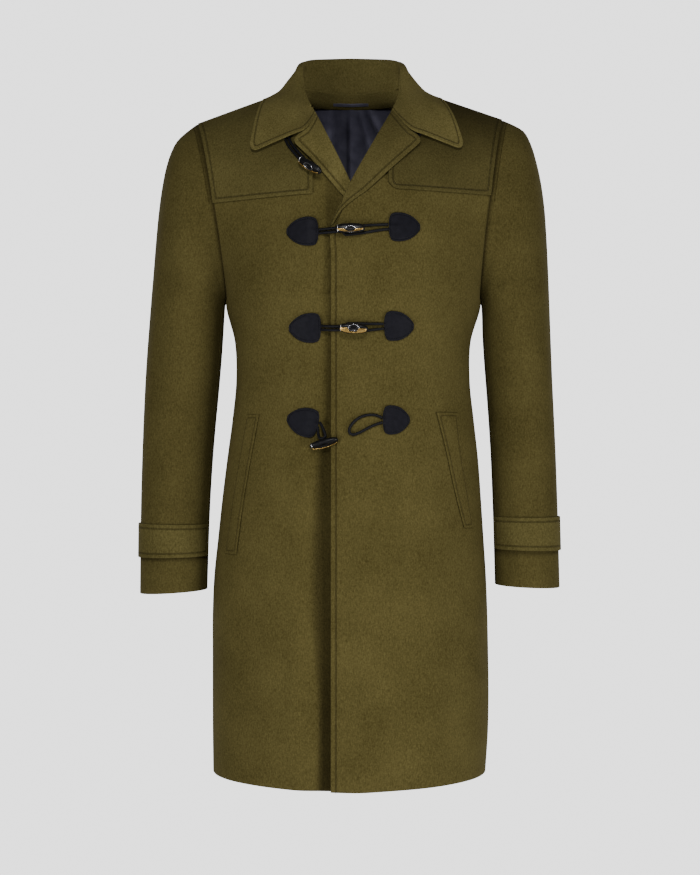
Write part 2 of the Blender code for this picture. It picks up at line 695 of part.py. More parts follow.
WELTS = {                         # both edges of each pocket welt, at their heights
    RIGHT: (Welt(-469, 132, 151), Welt(-511, 140, 159), Welt(-598, 155, 173), Welt(-671, 165, 183)),
    LEFT: (Welt(-466, 122.5, 154), Welt(-511, 134, 158), Welt(-588, 151, 170), Welt(-633, 163, 177)),
}
WELT_ROWS = 7
WELT_LIFT = 1.2


def overlay(name, side, places, lift, thickness, made_of):
    """Wall that lies on a front, from a grid of (s, w) places."""
    inner = [[lifted(side, FRONT, s, w, lift) for s, w in row] for row in places]
    outer = [[lifted(side, FRONT, s, w, lift + thickness) for s, w in row] for row in places]
    return wall(name, outer, inner, made_of)


def yoke(name, side, made_of):
    size = YOKES[side]
    places = []
    for i in range(YOKE_ROWS + 1):
        row = []
        for j in range(YOKE_COLUMNS + 1):
            across = j / YOKE_COLUMNS
            low_w = locate(side, FRONT, mix(size.inner_x, YOKE_OUTER_X, across),
                           mix(size.inner_z, size.outer_z, across))[1]
            w = mix(low_w, YOKE_TOP_W, i / YOKE_ROWS)
            inner_s = max(locate_s(side, size.inner_x, w), edge_s(side, w) + YOKE_NECK_S)
            row.append((mix(inner_s, YOKE_OUTER_S, across), w))
        places.append(row)
    return overlay(name, side, places, YOKE_LIFT, WOOL, made_of)


def locate_s(side, x, w):
    """Where a row of the front has this x."""
    s = 0.2
    for _ in range(ROUNDS):
        s += NUDGE * (x - side * skin(side, FRONT, s, w).x) / HALF_WIDTH
    return s


def welt(name, side, made_of):
    rows = WELTS[side][::-1]
    heights = column(rows, "z")
    places = []
    for i in range(WELT_ROWS + 1):
        z = mix(heights[0], heights[-1], i / WELT_ROWS)
        front_x = smooth(heights, column(rows, "front_x"), z)
        back_x = smooth(heights, column(rows, "back_x"), z)
        places.append([locate(side, FRONT, mix(front_x, back_x, j / 2), z) for j in range(3)])
    return overlay(name, side, places, WELT_LIFT, WOOL, made_of)


# ---------------------------------------------------------------- cuff straps
Strap = namedtuple("Strap", "low high end_angle")
STRAPS = {RIGHT: Strap(8.53, 8.08, 54), LEFT: Strap(8.47, 7.99, 72)}   # ring numbers and back end
STRAP_LIFT = GAP + 0.5


def cuff_strap(name, side, made_of):
    size = STRAPS[side]
    spans = [(angle, FRONT) for angle in range(FRONT_SEAM_ANGLE, 91, SLEEVE_STEP // 2)]
    spans += [(angle, BACK) for angle in range(90 - SLEEVE_STEP // 2, size.end_angle - 1, -SLEEVE_STEP // 2)]
    rings = [mix(size.low, size.high, i / 2) for i in range(3)]
    outer = [[sleeve_point(side, ring, angle, face, STRAP_LIFT + WOOL) for angle, face in spans]
             for ring in rings]
    inner = [[sleeve_point(side, ring, angle, face, STRAP_LIFT) for angle, face in spans] for ring in rings]
    return wall(name, outer, inner, made_of)


# ---------------------------------------------------------------- lining, neck facing, hanger loop
FACING_Z = 7.0                    # lower edge of the facing strip inside the back neck
FACING = 1.8
FACING_DEPTH = WOOL + 3.8         # of its hidden side under the back's skin
FACING_INSET = 4.8                # of its top from the neckline's edge
FACING_ROWS = ((0, FACING_DEPTH), (0.5, FACING_DEPTH + 2))    # share of its height, depth of its hidden side
LINING_GAP = 3.0                  # clears the flats of the back's facets
LINING_LOW_W = 0.0
LINING_SIDE_S = 0.88
PLEAT_X, PLEAT_DEPTH = 6.0, 4.0   # a soft pleat down the middle of the lining
HANGER = namedtuple("Hanger", "half_length height z thickness")(26.5, 4.5, 13.0, 1.2)


def back_w_at(side, s, z):
    """Row of the back that passes this height at a given s."""
    w = 0.8
    for _ in range(ROUNDS):
        w += NUDGE * (z - skin(side, BACK, s, w).z) / UPPER_HEIGHT
    return min(w, 1.0)


def both_backs(ss):
    """Columns across both back halves, from the wearer's right to the left."""
    return [(RIGHT, s) for s in reversed(ss[1:])] + [(LEFT, s) for s in ss]


def under_back(side, s, w, depth):
    return skin(side, BACK, s, w) - outward_shared(side, BACK, s, w) * depth


def facing(name, made_of):
    columns = both_backs([NECK_S * 0.76 * j / 5 for j in range(6)])
    outer, inner = [], []
    for share, depth in FACING_ROWS:
        outer.append([])
        inner.append([])
        for side, s in columns:
            w = mix(back_w_at(side, s, FACING_Z), neck_top(s), share)
            outer[-1].append(under_back(side, s, w, depth))
            inner[-1].append(under_back(side, s, w, depth + FACING))
    outer.append([])
    inner.append([])
    for side, s in columns:
        brim = skin(side, BACK, s, neck_top(s))
        foot = brim + UP * (STAND_GAP - GAP)
        outer[-1].append(foot + into_neck(brim) * FACING_INSET)
        inner[-1].append(foot + into_neck(brim) * (FACING_INSET + FACING))
    return wall(name, outer, inner, made_of)


def lining(name, made_of):
    columns = both_backs([LINING_SIDE_S * j / 6 for j in range(7)])
    outer, inner = [], []
    rows = 8
    for i in range(rows + 1):
        outer.append([])
        inner.append([])
        for side, s in columns:
            top = min(back_w_at(side, s, FACING_Z - 1), 0.9)
            w = mix(LINING_LOW_W, top, i / rows)
            x = side * abs(skin(side, BACK, s, w).x)
            pleat = PLEAT_DEPTH * math.exp(-((x - PLEAT_X) / 9) ** 2)
            outer[-1].append(under_back(side, s, w, WOOL + LINING_GAP + pleat))
            inner[-1].append(under_back(side, s, w, WOOL + LINING_GAP + LINING + pleat))
    return wall(name, outer, inner, made_of)


def hanger_loop(name, made_of):
    """Flat loop of lining cloth on the facing strip at centre back."""
    outer, inner = [], []
    depth = FACING_ROWS[1][1] + FACING + 1.0
    for z in (HANGER.z - HANGER.height / 2, HANGER.z + HANGER.height / 2):
        outer.append([])
        inner.append([])
        for j in range(-4, 5):
            x = HANGER.half_length * j / 4
            side = LEFT if x >= 0 else RIGHT
            s = abs(x) / HALF_WIDTH
            w = back_w_at(side, s, z)
            outer[-1].append(under_back(side, s, w, depth))
            inner[-1].append(under_back(side, s, w, depth + HANGER.thickness))
    return wall(name, outer, inner, made_of)


# ---------------------------------------------------------------- leather patches of the four toggle rows
Patch = namedtuple("Patch", "row side base_x base_z turn length lift")
PATCHES = (                       # row 1 is the top one; middle of the base, way to the tip in degrees, and
    Patch(1, RIGHT, -92, -58, 135, 44, 4.8),      # height over the skin, clear of the facets below
    Patch(1, LEFT, 103, -53, 45, 44, 4.8),
    Patch(2, RIGHT, -47.9, -208, 180, 44, 0.85),
    Patch(2, LEFT, 54.9, -202, 1, 43.5, 0.85),
    Patch(3, RIGHT, -44.4, -346, 179, 44, 0.85),
    Patch(3, LEFT, 48.2, -343, 1, 41, 0.85),
    Patch(4, RIGHT, -48.6, -483.9, 167, 43.5, 1.2),
    Patch(4, LEFT, 46.5, -477, 0, 37, 1.2),
)
PATCH_HALF = 21.0
Outline = namedtuple("Outline", "along half")
PATCH_OUTLINE = (                 # shares of the length and of the half height
    Outline(0.00, 0.72), Outline(0.05, 0.88), Outline(0.16, 0.98), Outline(0.30, 1.00), Outline(0.45, 0.97),
    Outline(0.60, 0.88), Outline(0.75, 0.71), Outline(0.88, 0.48), Outline(0.96, 0.28), Outline(1.00, 0.14),
)
BASE_HOLLOW = 1.5                 # the base curves in by this much at its middle


def patch(name, spec, made_of):
    turn = math.radians(spec.turn)
    along, across = Vector((math.cos(turn), math.sin(turn))), Vector((-math.sin(turn), math.cos(turn)))
    outer, inner = [], []
    for station in PATCH_OUTLINE:
        outer.append([])
        inner.append([])
        for share in (-1, -0.5, 0, 0.5, 1):
            hollow = BASE_HOLLOW * (1 - share * share) * ease(1 - station.along / 0.16)
            place = (Vector((spec.base_x, spec.base_z)) + along * (station.along * spec.length + hollow)
                     + across * (station.half * share * PATCH_HALF))
            outer[-1].append(on_front(spec.side, spec.side * place.x, place.y, spec.lift + LEATHER))
            inner[-1].append(on_front(spec.side, spec.side * place.x, place.y, spec.lift))
    return wall(name, outer, inner, made_of)


# ---------------------------------------------------------------- toggles
Toggle = namedtuple("Toggle", "row x z height turn roll")
TOGGLES = (                       # centres, height over the coat's skin, slant, how far the plate faces down
    Toggle(1, -55, -118.5, 15.6, -36, 55),
    Toggle(2, -1.4, -207.5, 14.6, 1, 4),
    Toggle(3, 3.0, -345.2, 14.6, -3, 12),
    Toggle(4, -38.0, -510.5, 6.9, 15, 62),
)
BAR_HALF_LENGTH, BAR_HALF_HEIGHT, BAR_HALF_DEPTH = 21.0, 7.0, 4.5
BAR_STATIONS = (-1, -0.96, -0.85, -0.65, -0.35, 0, 0.35, 0.65, 0.85, 0.96, 1)
BAR_SIDES = 12
BAR_SQUARENESS = 2.4
PLATE_GAP, PLATE_THICK = 0.35, 1.0
PLATE_HALF_LENGTH = 18.5
PLATE_TOP, PLATE_BOTTOM = 2.2, -5.3
EYELET = namedtuple("Eyelet", "half_length half_height v")(7.6, 4.3, 0.6)    # oval hole in the bar's front
PLATE_COLUMNS = 14


def over_skin(x, z, height):
    side = LEFT if x >= 0 else RIGHT
    s, w = locate(side, FRONT, abs(x), z)
    return skin(side, FRONT, s, w) + outward(side, FRONT, s, w) * height


def toggle_frame(spec):
    """Centre and the directions along the bar, up its height and out of its plate."""
    side = LEFT if spec.x >= 0 else RIGHT
    s, w = locate(side, FRONT, abs(spec.x), spec.z)
    out = outward(side, FRONT, s, w)
    turn, roll = math.radians(spec.turn), math.radians(spec.roll)
    along = Vector((math.cos(turn), 0, math.sin(turn)))
    along = (along - out * along.dot(out)).normalized()
    up = out.cross(along)
    return (over_skin(spec.x, spec.z, spec.height), along,
            up * math.cos(roll) + out * math.sin(roll), out * math.cos(roll) - up * math.sin(roll))


def bar_size(share):
    """How full the bar is at a share of its half length."""
    return (1 - abs(share) ** 3.2) ** (1 / 2.2) * 0.93 + 0.07


def bar_front(x, v):
    """Depth of the bar's front at a place on it."""
    full = bar_size(x / BAR_HALF_LENGTH)
    return BAR_HALF_DEPTH * full * max(0.0, 1 - abs(v / (BAR_HALF_HEIGHT * full)) ** BAR_SQUARENESS) ** (
        1 / BAR_SQUARENESS)


def toggle(name, spec, made_of):
    centre, along, up, out = toggle_frame(spec)
    points, faces = [], []
    for share in BAR_STATIONS:
        full = bar_size(share)
        for k in range(BAR_SIDES):
            angle = 2 * math.pi * k / BAR_SIDES
            c, s = math.cos(angle), math.sin(angle)
            v = math.copysign(abs(s) ** (2 / BAR_SQUARENESS), s) * BAR_HALF_HEIGHT * full
            d = math.copysign(abs(c) ** (2 / BAR_SQUARENESS), c) * BAR_HALF_DEPTH * full
            points.append(centre + along * (share * BAR_HALF_LENGTH) + up * v + out * d)
    for i in range(len(BAR_STATIONS) - 1):
        for k in range(BAR_SIDES):
            a, b = i * BAR_SIDES + k, i * BAR_SIDES + (k + 1) % BAR_SIDES
            faces.append((a, b, b + BAR_SIDES, a + BAR_SIDES))
    faces.append(tuple(range(BAR_SIDES))[::-1])
    faces.append(tuple(range(len(points) - BAR_SIDES, len(points))))
    if signed_volume(points, faces) < 0:
        faces = [face[::-1] for face in faces]
    return mesh_object(name, points, faces, made_of)


def plate_edges(x):
    """Upper and lower edge of the plate; the upper one dips round the eyelet."""
    low = PLATE_BOTTOM * math.sqrt(max(0.0, 1 - (x / (PLATE_HALF_LENGTH + 1)) ** 2))
    share = abs(x) / EYELET.half_length
    high = PLATE_TOP * math.sqrt(max(0.0, 1 - (x / (PLATE_HALF_LENGTH + 4)) ** 4))
    if share < 1:
        high = min(high, EYELET.v - EYELET.half_height * math.sqrt(1 - share * share))
    return high, low


def toggle_plate(name, spec, made_of):
    centre, along, up, out = toggle_frame(spec)
    outer, inner = [], []
    for share in (0, 0.5, 1):
        outer.append([])
        inner.append([])
        for j in range(PLATE_COLUMNS + 1):
            x = PLATE_HALF_LENGTH * (2 * j / PLATE_COLUMNS - 1)
            high, low = plate_edges(x)
            v = mix(low, high, share)
            flat = centre + along * x + up * v
            depth = bar_front(x, v) + PLATE_GAP
            inner[-1].append(flat + out * depth)
            outer[-1].append(flat + out * (depth + PLATE_THICK))
    return wall(name, outer, inner, made_of)


# ---------------------------------------------------------------- cords of the toggle rows
CORD_RADIUS = 2.1
Pass = namedtuple("Pass", "x z height spread")
TOGGLE_CORDS = {                  # middle line of each pair of strands, height over the skin, half spacing
    1: (Pass(-90.8, -60, 6.6, 2.6), Pass(-91, -69, 6.6, 2.6), Pass(-87, -80, 6.6, 2.6),
        Pass(-77.5, -93, 6.6, 2.6), Pass(-67, -105.5, 6.6, 2.6), Pass(-58.5, -115, 6.6, 2.6)),
    2: (Pass(-46, -208, -2.2, 2.6), Pass(-38, -208, 0.6, 2.6), Pass(-29, -208, 3.5, 2.6),
        Pass(-20, -208, 6.6, 2.6), Pass(-12, -208, 7.6, 2.6), Pass(-2, -207.8, 7.6, 2.6)),
    3: (Pass(-42.5, -346, -3.0, 2.6), Pass(-36, -346, 0.4, 2.6), Pass(-28, -346, 3.6, 2.6),
        Pass(-18, -345.8, 6.6, 2.6), Pass(-10, -345.6, 7.6, 2.6), Pass(1, -345.4, 7.6, 2.6)),
}
LOOPS = {
    1: (Pass(102.2, -53.8, 6.6, 3.2), Pass(97, -59.5, 6.6, 4), Pass(92.5, -65, 6.6, 4)),
    2: (Pass(52.7, -202.3, 2.8, 3.4), Pass(40, -203.5, 2.8, 3.9), Pass(27, -205, 2.8, 4.6),
        Pass(12, -206.8, 2.8, 5.4), Pass(-6, -208, 2.8, 6)),
    3: (Pass(46, -343.2, 2.8, 3.4), Pass(36, -343.8, 2.8, 3.9), Pass(26, -344.4, 2.8, 4.6),
        Pass(14, -345, 2.8, 5.4), Pass(-3, -345.6, 2.8, 6)),
}
Point = namedtuple("Point", "x z height")
HANGING_CORD = (                  # row 4, from the patch down behind the toggle and back
    Point(-47.6, -486.5, -2.4), Point(-47.4, -493, -1.6), Point(-46.3, -499, 0.6),
    Point(-44.8, -502.5, 2.6), Point(-42.4, -504.0, 3.6), Point(-39.0, -503.2, 4.0),
    Point(-36.6, -501.2, 4.0), Point(-36.6, -498.2, 3.6), Point(-39.2, -491, 1.8),
    Point(-42.4, -484, -0.4), Point(-45.2, -480.2, -2.2),
)
OPEN_LOOP = (                     # row 4, an open loop on the left front
    Point(44.4, -474.2, 2.8), Point(37, -471, 2.8), Point(29, -469.8, 2.8), Point(21, -470.6, 2.8),
    Point(13, -473.4, 2.8), Point(6, -478, 2.8), Point(0.5, -484, 2.8), Point(-2.6, -490.5, 2.8),
    Point(-1.6, -496, 2.8), Point(3.6, -498, 2.8), Point(10.5, -495.8, 2.8), Point(18, -492, 2.8),
    Point(26.5, -487.4, 2.8), Point(35.5, -483.6, 2.8), Point(44.4, -480.6, 2.8),
)
TURN_STEPS = 6                    # straight pieces round the end of a doubled cord


def strand_path(passes):
    """Points of a doubled cord: out along one strand, round the end and back along the other."""
    middles = [Vector((step.x, step.z)) for step in passes]
    there, back = [], []
    for k, step in enumerate(passes):
        along = (middles[min(k + 1, len(middles) - 1)] - middles[max(k - 1, 0)]).normalized()
        offset = Vector((-along.y, along.x)) * step.spread
        there.append((middles[k] + offset, step.height))
        back.append((middles[k] - offset, step.height))
    end, first = middles[-1], there[-1][0] - middles[-1]
    ahead = Vector((first.y, -first.x))
    turn = [(end + first * math.cos(a) + ahead * math.sin(a), passes[-1].height)
            for a in (math.pi * k / TURN_STEPS for k in range(1, TURN_STEPS))]
    return [over_skin(place.x, place.y, height) for place, height in there + turn + back[::-1]]


def cord(name, points, made_of):
    curve = bpy.data.curves.new(name, "CURVE")
    curve.dimensions = "3D"
    spline = curve.splines.new("POLY")
    spline.points.add(len(points) - 1)
    for place, point in zip(spline.points, points):
        place.co = (*(point * METRE), 1)
    curve.bevel_depth = CORD_RADIUS * METRE
    curve.bevel_resolution = 2
    curve.use_fill_caps = True
    curve.materials.append(made_of)
    thing = bpy.data.objects.new(name, curve)
    bpy.context.scene.collection.objects.link(thing)
    return thing


def clear_scene():
    for thing in list(bpy.data.objects):
        bpy.data.objects.remove(thing, do_unlink=True)


SIDE_NAMES = {RIGHT: "right", LEFT: "left"}

clear_scene()
melton = material("melton wool", (0.095, 0.075, 0.022), 0.95)
satin = material("lining satin", (0.016, 0.016, 0.024), 0.45)
leather = material("navy leather", (0.011, 0.010, 0.015), 0.6)
horn = material("black gloss", (0.006, 0.006, 0.008), 0.15)
brass = material("gold-tone brass", (0.55, 0.36, 0.13), 0.3, 1.0)
braid = material("black cord", (0.009, 0.009, 0.014), 0.75)
for side, word in SIDE_NAMES.items():
    panel("front_" + word, side, FRONT, melton)
    panel("back_" + word, side, BACK, melton)
    top_spans, under_spans = sleeve_spans()
    sleeve("sleeve_%s_top" % word, side, top_spans, melton)
    sleeve("sleeve_%s_under" % word, side, under_spans, melton)
    lapel("lapel_" + word, side, melton)
    yoke("yoke_" + word, side, melton)
    welt("welt_" + word, side, melton)
    cuff_strap("cuff_strap_" + word, side, melton)
collar("collar", melton)
facing("neck_facing", melton)
lining("lining", satin)
hanger_loop("hanger_loop", satin)
for spec in PATCHES:
    patch("patch_%d_%s" % (spec.row, SIDE_NAMES[spec.side]), spec, leather)
for spec in TOGGLES:
    toggle("toggle_%d" % spec.row, spec, horn)
    toggle_plate("toggle_plate_%d" % spec.row, spec, brass)
for row, passes in TOGGLE_CORDS.items():
    cord("toggle_cord_%d" % row, strand_path(passes), braid)
for row, passes in LOOPS.items():
    cord("loop_cord_%d" % row, strand_path(passes), braid)
cord("toggle_cord_4", [over_skin(*point) for point in HANGING_CORD], braid)
cord("loop_cord_4", [over_skin(*point) for point in OPEN_LOOP], braid)
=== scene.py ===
"""A duffle coat in olive melton wool with leather patches, cords and toggles, dressed on its CAD frame."""
import math
from collections import Counter, defaultdict, namedtuple

import bmesh
import bpy
import numpy as np
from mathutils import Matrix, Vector


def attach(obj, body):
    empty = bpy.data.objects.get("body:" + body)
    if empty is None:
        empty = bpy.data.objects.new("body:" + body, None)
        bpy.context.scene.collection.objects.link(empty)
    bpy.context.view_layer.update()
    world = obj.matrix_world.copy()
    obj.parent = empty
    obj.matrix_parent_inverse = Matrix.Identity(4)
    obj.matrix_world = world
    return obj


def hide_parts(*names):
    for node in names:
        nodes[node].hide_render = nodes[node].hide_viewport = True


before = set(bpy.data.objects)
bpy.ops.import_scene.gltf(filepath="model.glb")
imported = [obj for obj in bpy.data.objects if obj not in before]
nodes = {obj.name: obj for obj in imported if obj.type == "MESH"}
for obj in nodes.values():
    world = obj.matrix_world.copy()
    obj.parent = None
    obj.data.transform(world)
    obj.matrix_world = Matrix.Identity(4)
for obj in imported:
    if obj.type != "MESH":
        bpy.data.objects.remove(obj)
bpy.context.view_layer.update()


# ---------------------------------------------------------------- camera
# The coat hangs filled out and is seen level, straight from the front, from a little under three metres.
lens = bpy.data.cameras.new("camera")
lens.lens = 76.8
camera = bpy.data.objects.new("camera", lens)
camera.location = (-0.0015, -2.8, -0.502)
camera.rotation_euler = (math.radians(90), 0, 0)
bpy.context.scene.collection.objects.link(camera)
bpy.context.scene.camera = camera


# ---------------------------------------------------------------- cords of the four toggle rows
# Round black cotton cord, braided over a core. Each is one length, doubled: both its ends go under a
# leather patch, and the fold holds a toggle, or is the loop that the toggle goes through. Rows 1 and 4 are
# undone.
CordPlace = namedtuple("CordPlace", "node exit lay")
CORD_PLACES = (
    CordPlace("toggle_cord_1", (-0.0901, -0.0852, -0.0566), "loose"),
    CordPlace("loop_cord_1", (0.1064, -0.0779, -0.0524), "loose"),
    CordPlace("toggle_cord_2", (-0.0457, -0.1388, -0.2057), "loose"),
    CordPlace("loop_cord_2", (0.0535, -0.1428, -0.2053), "loose"),
    CordPlace("toggle_cord_3", (-0.0421, -0.1381, -0.3429), "loose"),
    CordPlace("loop_cord_3", (0.0466, -0.1429, -0.3471), "loose"),
    CordPlace("toggle_cord_4", (-0.0473, -0.1319, -0.4867), "hanging"),
    CordPlace("loop_cord_4", (0.0447, -0.1365, -0.4740), "loose"),
)
CORD_DIAMETER = 0.0042
CORD_SIDES = 20
CORD_STEP = 0.0006
BRAID_STRANDS = 8
BRAID_PITCH = 0.0085               # one turn of a strand round the cord
BRAID_RELIEF = 0.00016
CAD_RING = 8                       # corners of each ring of the CAD cord
MERGE_DISTANCE = 1e-5


def linked(name, data):
    """A new object of that data, in the scene."""
    piece = bpy.data.objects.new(name, data)
    bpy.context.scene.collection.objects.link(piece)
    return piece


def dress(piece, node):
    """Makes the piece what shows of that CAD node."""
    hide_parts(node)
    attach(piece, "root")


def add(tree, kind, values=None, **settings):
    """A new node in the tree, with those settings, and those values of its inputs."""
    node = tree.nodes.new(kind)
    for setting, value in settings.items():
        setattr(node, setting, value)
    for socket, value in (values or {}).items():
        node.inputs[socket].default_value = value
    return node


def wire(tree, *links):
    """Links in the tree, each from a node and its output to a node and its input."""
    for source, output, target, socket in links:
        tree.links.new(source.outputs[output], target.inputs[socket])


def tones(tree, low, dark, high, light):
    """A ramp from a dark colour at low to a light one at high."""
    ramp = tree.nodes.new("ShaderNodeValToRGB")
    for element, position, colour in zip(ramp.color_ramp.elements, (low, high), (dark, light)):
        element.position = position
        element.color = (*colour, 1)
    return ramp


def tube(name, rings, made_of, closed=False):
    """A smooth tube through rings of points, closed on itself or capped at both ends."""
    rings = np.array(rings)
    count, sides = rings.shape[:2]
    faces = []
    for i in range(count if closed else count - 1):
        near, far = i * sides, (i + 1) % count * sides
        for k in range(sides):
            after = (k + 1) % sides
            faces.append((near + k, near + after, far + after, far + k))
    if not closed:
        faces += [tuple(range(sides))[::-1], tuple(range((count - 1) * sides, count * sides))]
    data = bpy.data.meshes.new(name)
    data.from_pydata(rings.reshape(-1, 3).tolist(), [], faces)
    data.polygons.foreach_set("use_smooth", [True] * len(faces))
    data.materials.append(made_of)
    return linked(name, data)


def turns(count):
    """That many angles, evenly round."""
    return [math.tau * k / count for k in range(count)]


def material(name, values):
    """A new material, its node tree and its surface, with those values of the surface's inputs."""
    made = bpy.data.materials.new(name)
    made.use_nodes = True
    surface = made.node_tree.nodes["Principled BSDF"]
    for socket, value in values.items():
        surface.inputs[socket].default_value = value
    return made, made.node_tree, surface


def cord_route(node, exit_point):
    """Ring centres of the CAD cord, from the ring at exit_point to its other end."""
    cord = bmesh.new()
    cord.from_mesh(nodes[node].data)
    bmesh.ops.remove_doubles(cord, verts=cord.verts, dist=MERGE_DISTANCE)
    cord.verts.index_update()
    by_distance = sorted(cord.verts, key=lambda v: (v.co - Vector(exit_point)).length)
    ring = set(by_distance[:CAD_RING])
    seen = set()
    centres = []
    while ring:
        in_order = sorted(ring, key=lambda v: v.index)
        centres.append(sum((v.co for v in in_order), Vector()) / len(ring))
        seen |= ring
        ring = {edge.other_vert(v) for v in ring for edge in v.link_edges} - seen
    cord.free()
    return centres


def smooth_route(points, step):
    """The same route on one smooth curve, with points about a step apart."""
    ends = [points[0] * 2 - points[1], *points, points[-1] * 2 - points[-2]]
    route = []
    for a, b, c, d in zip(ends, ends[1:], ends[2:], ends[3:]):
        count = max(2, round((c - b).length / step))
        for k in range(count):
            t = k / count
            route.append(0.5 * (2 * b + (c - a) * t + (2 * a - 5 * b + 4 * c - d) * t * t
                                + (3 * b - a - 3 * c + d) * t ** 3))
    route.append(points[-1].copy())
    return route


def braided_tube(name, route, made_of):
    """A closed tube with the relief of strands that cross both ways round it."""
    rings = []
    side = (route[1] - route[0]).normalized().orthogonal().normalized()
    way = 0.0
    for k, place in enumerate(route):
        ahead = (route[min(k + 1, len(route) - 1)] - route[max(k - 1, 0)]).normalized()
        side = (side - ahead * side.dot(ahead)).normalized()
        up = ahead.cross(side)
        if k:
            way += (place - route[k - 1]).length
        turn = way / BRAID_PITCH * math.tau
        strands = BRAID_STRANDS / 2
        ring = []
        for angle in turns(CORD_SIDES):
            relief = math.cos(strands * angle + turn) * math.cos(strands * angle - turn)
            radius = CORD_DIAMETER / 2 - BRAID_RELIEF * (1 - relief) / 2
            ring.append(place + (side * math.cos(angle) + up * math.sin(angle)) * radius)
        rings.append(ring)
    return tube(name, rings, made_of)


cord_cotton, tree, surface = material("cord_cotton", {"Roughness": 0.6, "Specular IOR Level": 0.2})
place = add(tree, "ShaderNodeTexCoord")
fuzz = add(tree, "ShaderNodeTexNoise", {"Scale": 2600, "Detail": 3})
shade = tones(tree, 0.3, (0.0016, 0.0016, 0.0024), 0.75, (0.0062, 0.0060, 0.0082))
bump = add(tree, "ShaderNodeBump", {"Distance": 0.00012, "Strength": 0.6})
wire(tree,
     (place, "Object", fuzz, "Vector"),
     (fuzz, "Fac", shade, "Fac"),
     (shade, "Color", surface, "Base Color"),
     (fuzz, "Fac", bump, "Height"),
     (bump, "Normal", surface, "Normal"))

for spec in CORD_PLACES:
    centres = cord_route(spec.node, spec.exit)
    route = smooth_route(centres, CORD_STEP)
    cord = braided_tube("braided_" + spec.node, route, cord_cotton)
    dress(cord, spec.node)
    real_length = sum((b - a).length for a, b in zip(route, route[1:]))
    centres[0]


# ---------------------------------------------------------------- fronts, backs
# Four body panels of thick felted wool, cut in one from shoulder to hem, with soft drape below the waist.
# The wearer's left front laps over the right one, and its edge stands a little proud of it.
WOOL_THICK = 0.0024
SHARP_TURN = 0.6                   # a wall's side ends where its faces turn by more, in radians
ROLL_CORNER = 0.42                 # share of a wall's thickness by which its corners are drawn in
ROLL = ((0.13, 0.16), (0.0, 0.5), (0.13, 0.84))      # its rolled edge: shares of its thickness, in and down
UNMARKED = 1.0                     # the way to an edge that isn't there
TINY = 1e-12
EVERYWHERE = -2.0                  # a height below all of the coat
THREAD_THICK = 0.00055
STITCH_SHARE = 0.78                # share of the pitch that a stitch takes up
Layout = namedtuple("Layout", "node rows columns first")
BODY_PANELS = (                   # grid of the panel's face, and about where its first corner lies
    Layout("front_left", 23, 13, (0.0, -0.15, -1.0)),
    Layout("front_right", 23, 13, (0.0, -0.15, -1.0)),
    Layout("back_left", 23, 10, (0.0, 0.15, -1.0)),
    Layout("back_right", 23, 10, (0.0, 0.15, -1.0)),
)


def visible_side(layout):
    """The points of a cloth wall's visible side in rows and columns, and 1 or -1 for the way they face."""
    wall = bmesh.new()
    wall.from_mesh(nodes[layout.node].data)
    bmesh.ops.remove_doubles(wall, verts=wall.verts, dist=MERGE_DISTANCE)
    wall.normal_update()
    wall.verts.index_update()
    left = set(wall.faces)
    sides = []
    while left:
        todo = [left.pop()]
        side = set(todo)
        while todo:
            face = todo.pop()
            for edge in face.edges:
                for other in edge.link_faces:
                    if other in left and face.normal.angle(other.normal, 0) < SHARP_TURN:
                        left.discard(other)
                        side.add(other)
                        todo.append(other)
        sides.append(side)
    side = max(sides, key=lambda faces: sum(face.calc_area() for face in faces))
    points = np.array([v.co for v in wall.verts])
    uses = Counter(v.index for face in side for v in face.verts)
    inside = defaultdict(list)
    everywhere = defaultdict(list)
    facing = {}
    for face in wall.faces:
        corners = [v.index for v in face.verts]
        facing[frozenset(corners)] = np.array(face.normal)
        for k in range(3):
            edge = frozenset((corners[k], corners[k - 1]))
            everywhere[edge].append(corners[k - 2])
            if face in side:
                inside[edge].append(corners[k - 2])
    wall.free()
    rim = defaultdict(list)
    for edge, others in inside.items():
        if len(others) == 1:
            a, b = edge
            rim[a].append(b)
            rim[b].append(a)
    first = min((v for v in rim if uses[v] == 2), key=lambda v: np.linalg.norm(points[v] - layout.first))
    for second in rim[first]:
        row = [first, second]
        while len(row) < layout.columns:
            row.append(next(v for v in rim[row[-1]] if v != row[-2]))
        if uses[row[-1]] == 1:
            break
    grid = [row]
    above = set()
    while len(grid) < layout.rows:
        below = []
        for a, b in zip(grid[-1], grid[-1][1:]):
            near = inside if len(grid) == 1 else everywhere
            c = next(v for v in near[frozenset((a, b))] if v not in above)
            if not below:
                below.append(next(v for v in everywhere[frozenset((a, c))] if v != b))
            below.append(c)
        above = set(grid[-1])
        grid.append(below)
    a, b, c = grid[0][0], grid[0][1], grid[1][1]
    turned = np.cross(points[b] - points[a], points[c] - points[a])
    return points[np.array(grid)], 1 if turned @ facing[frozenset((a, b, c))] > 0 else -1


def travelled(points):
    """The way along the cloth to each point from the first one, or from the first row."""
    steps = np.linalg.norm(np.diff(points, axis=0), axis=-1)
    return np.concatenate((np.zeros_like(steps[:1]), steps)).cumsum(axis=0)


def unit(ways):
    """The same directions, one long."""
    return ways / np.linalg.norm(ways, axis=-1, keepdims=True)


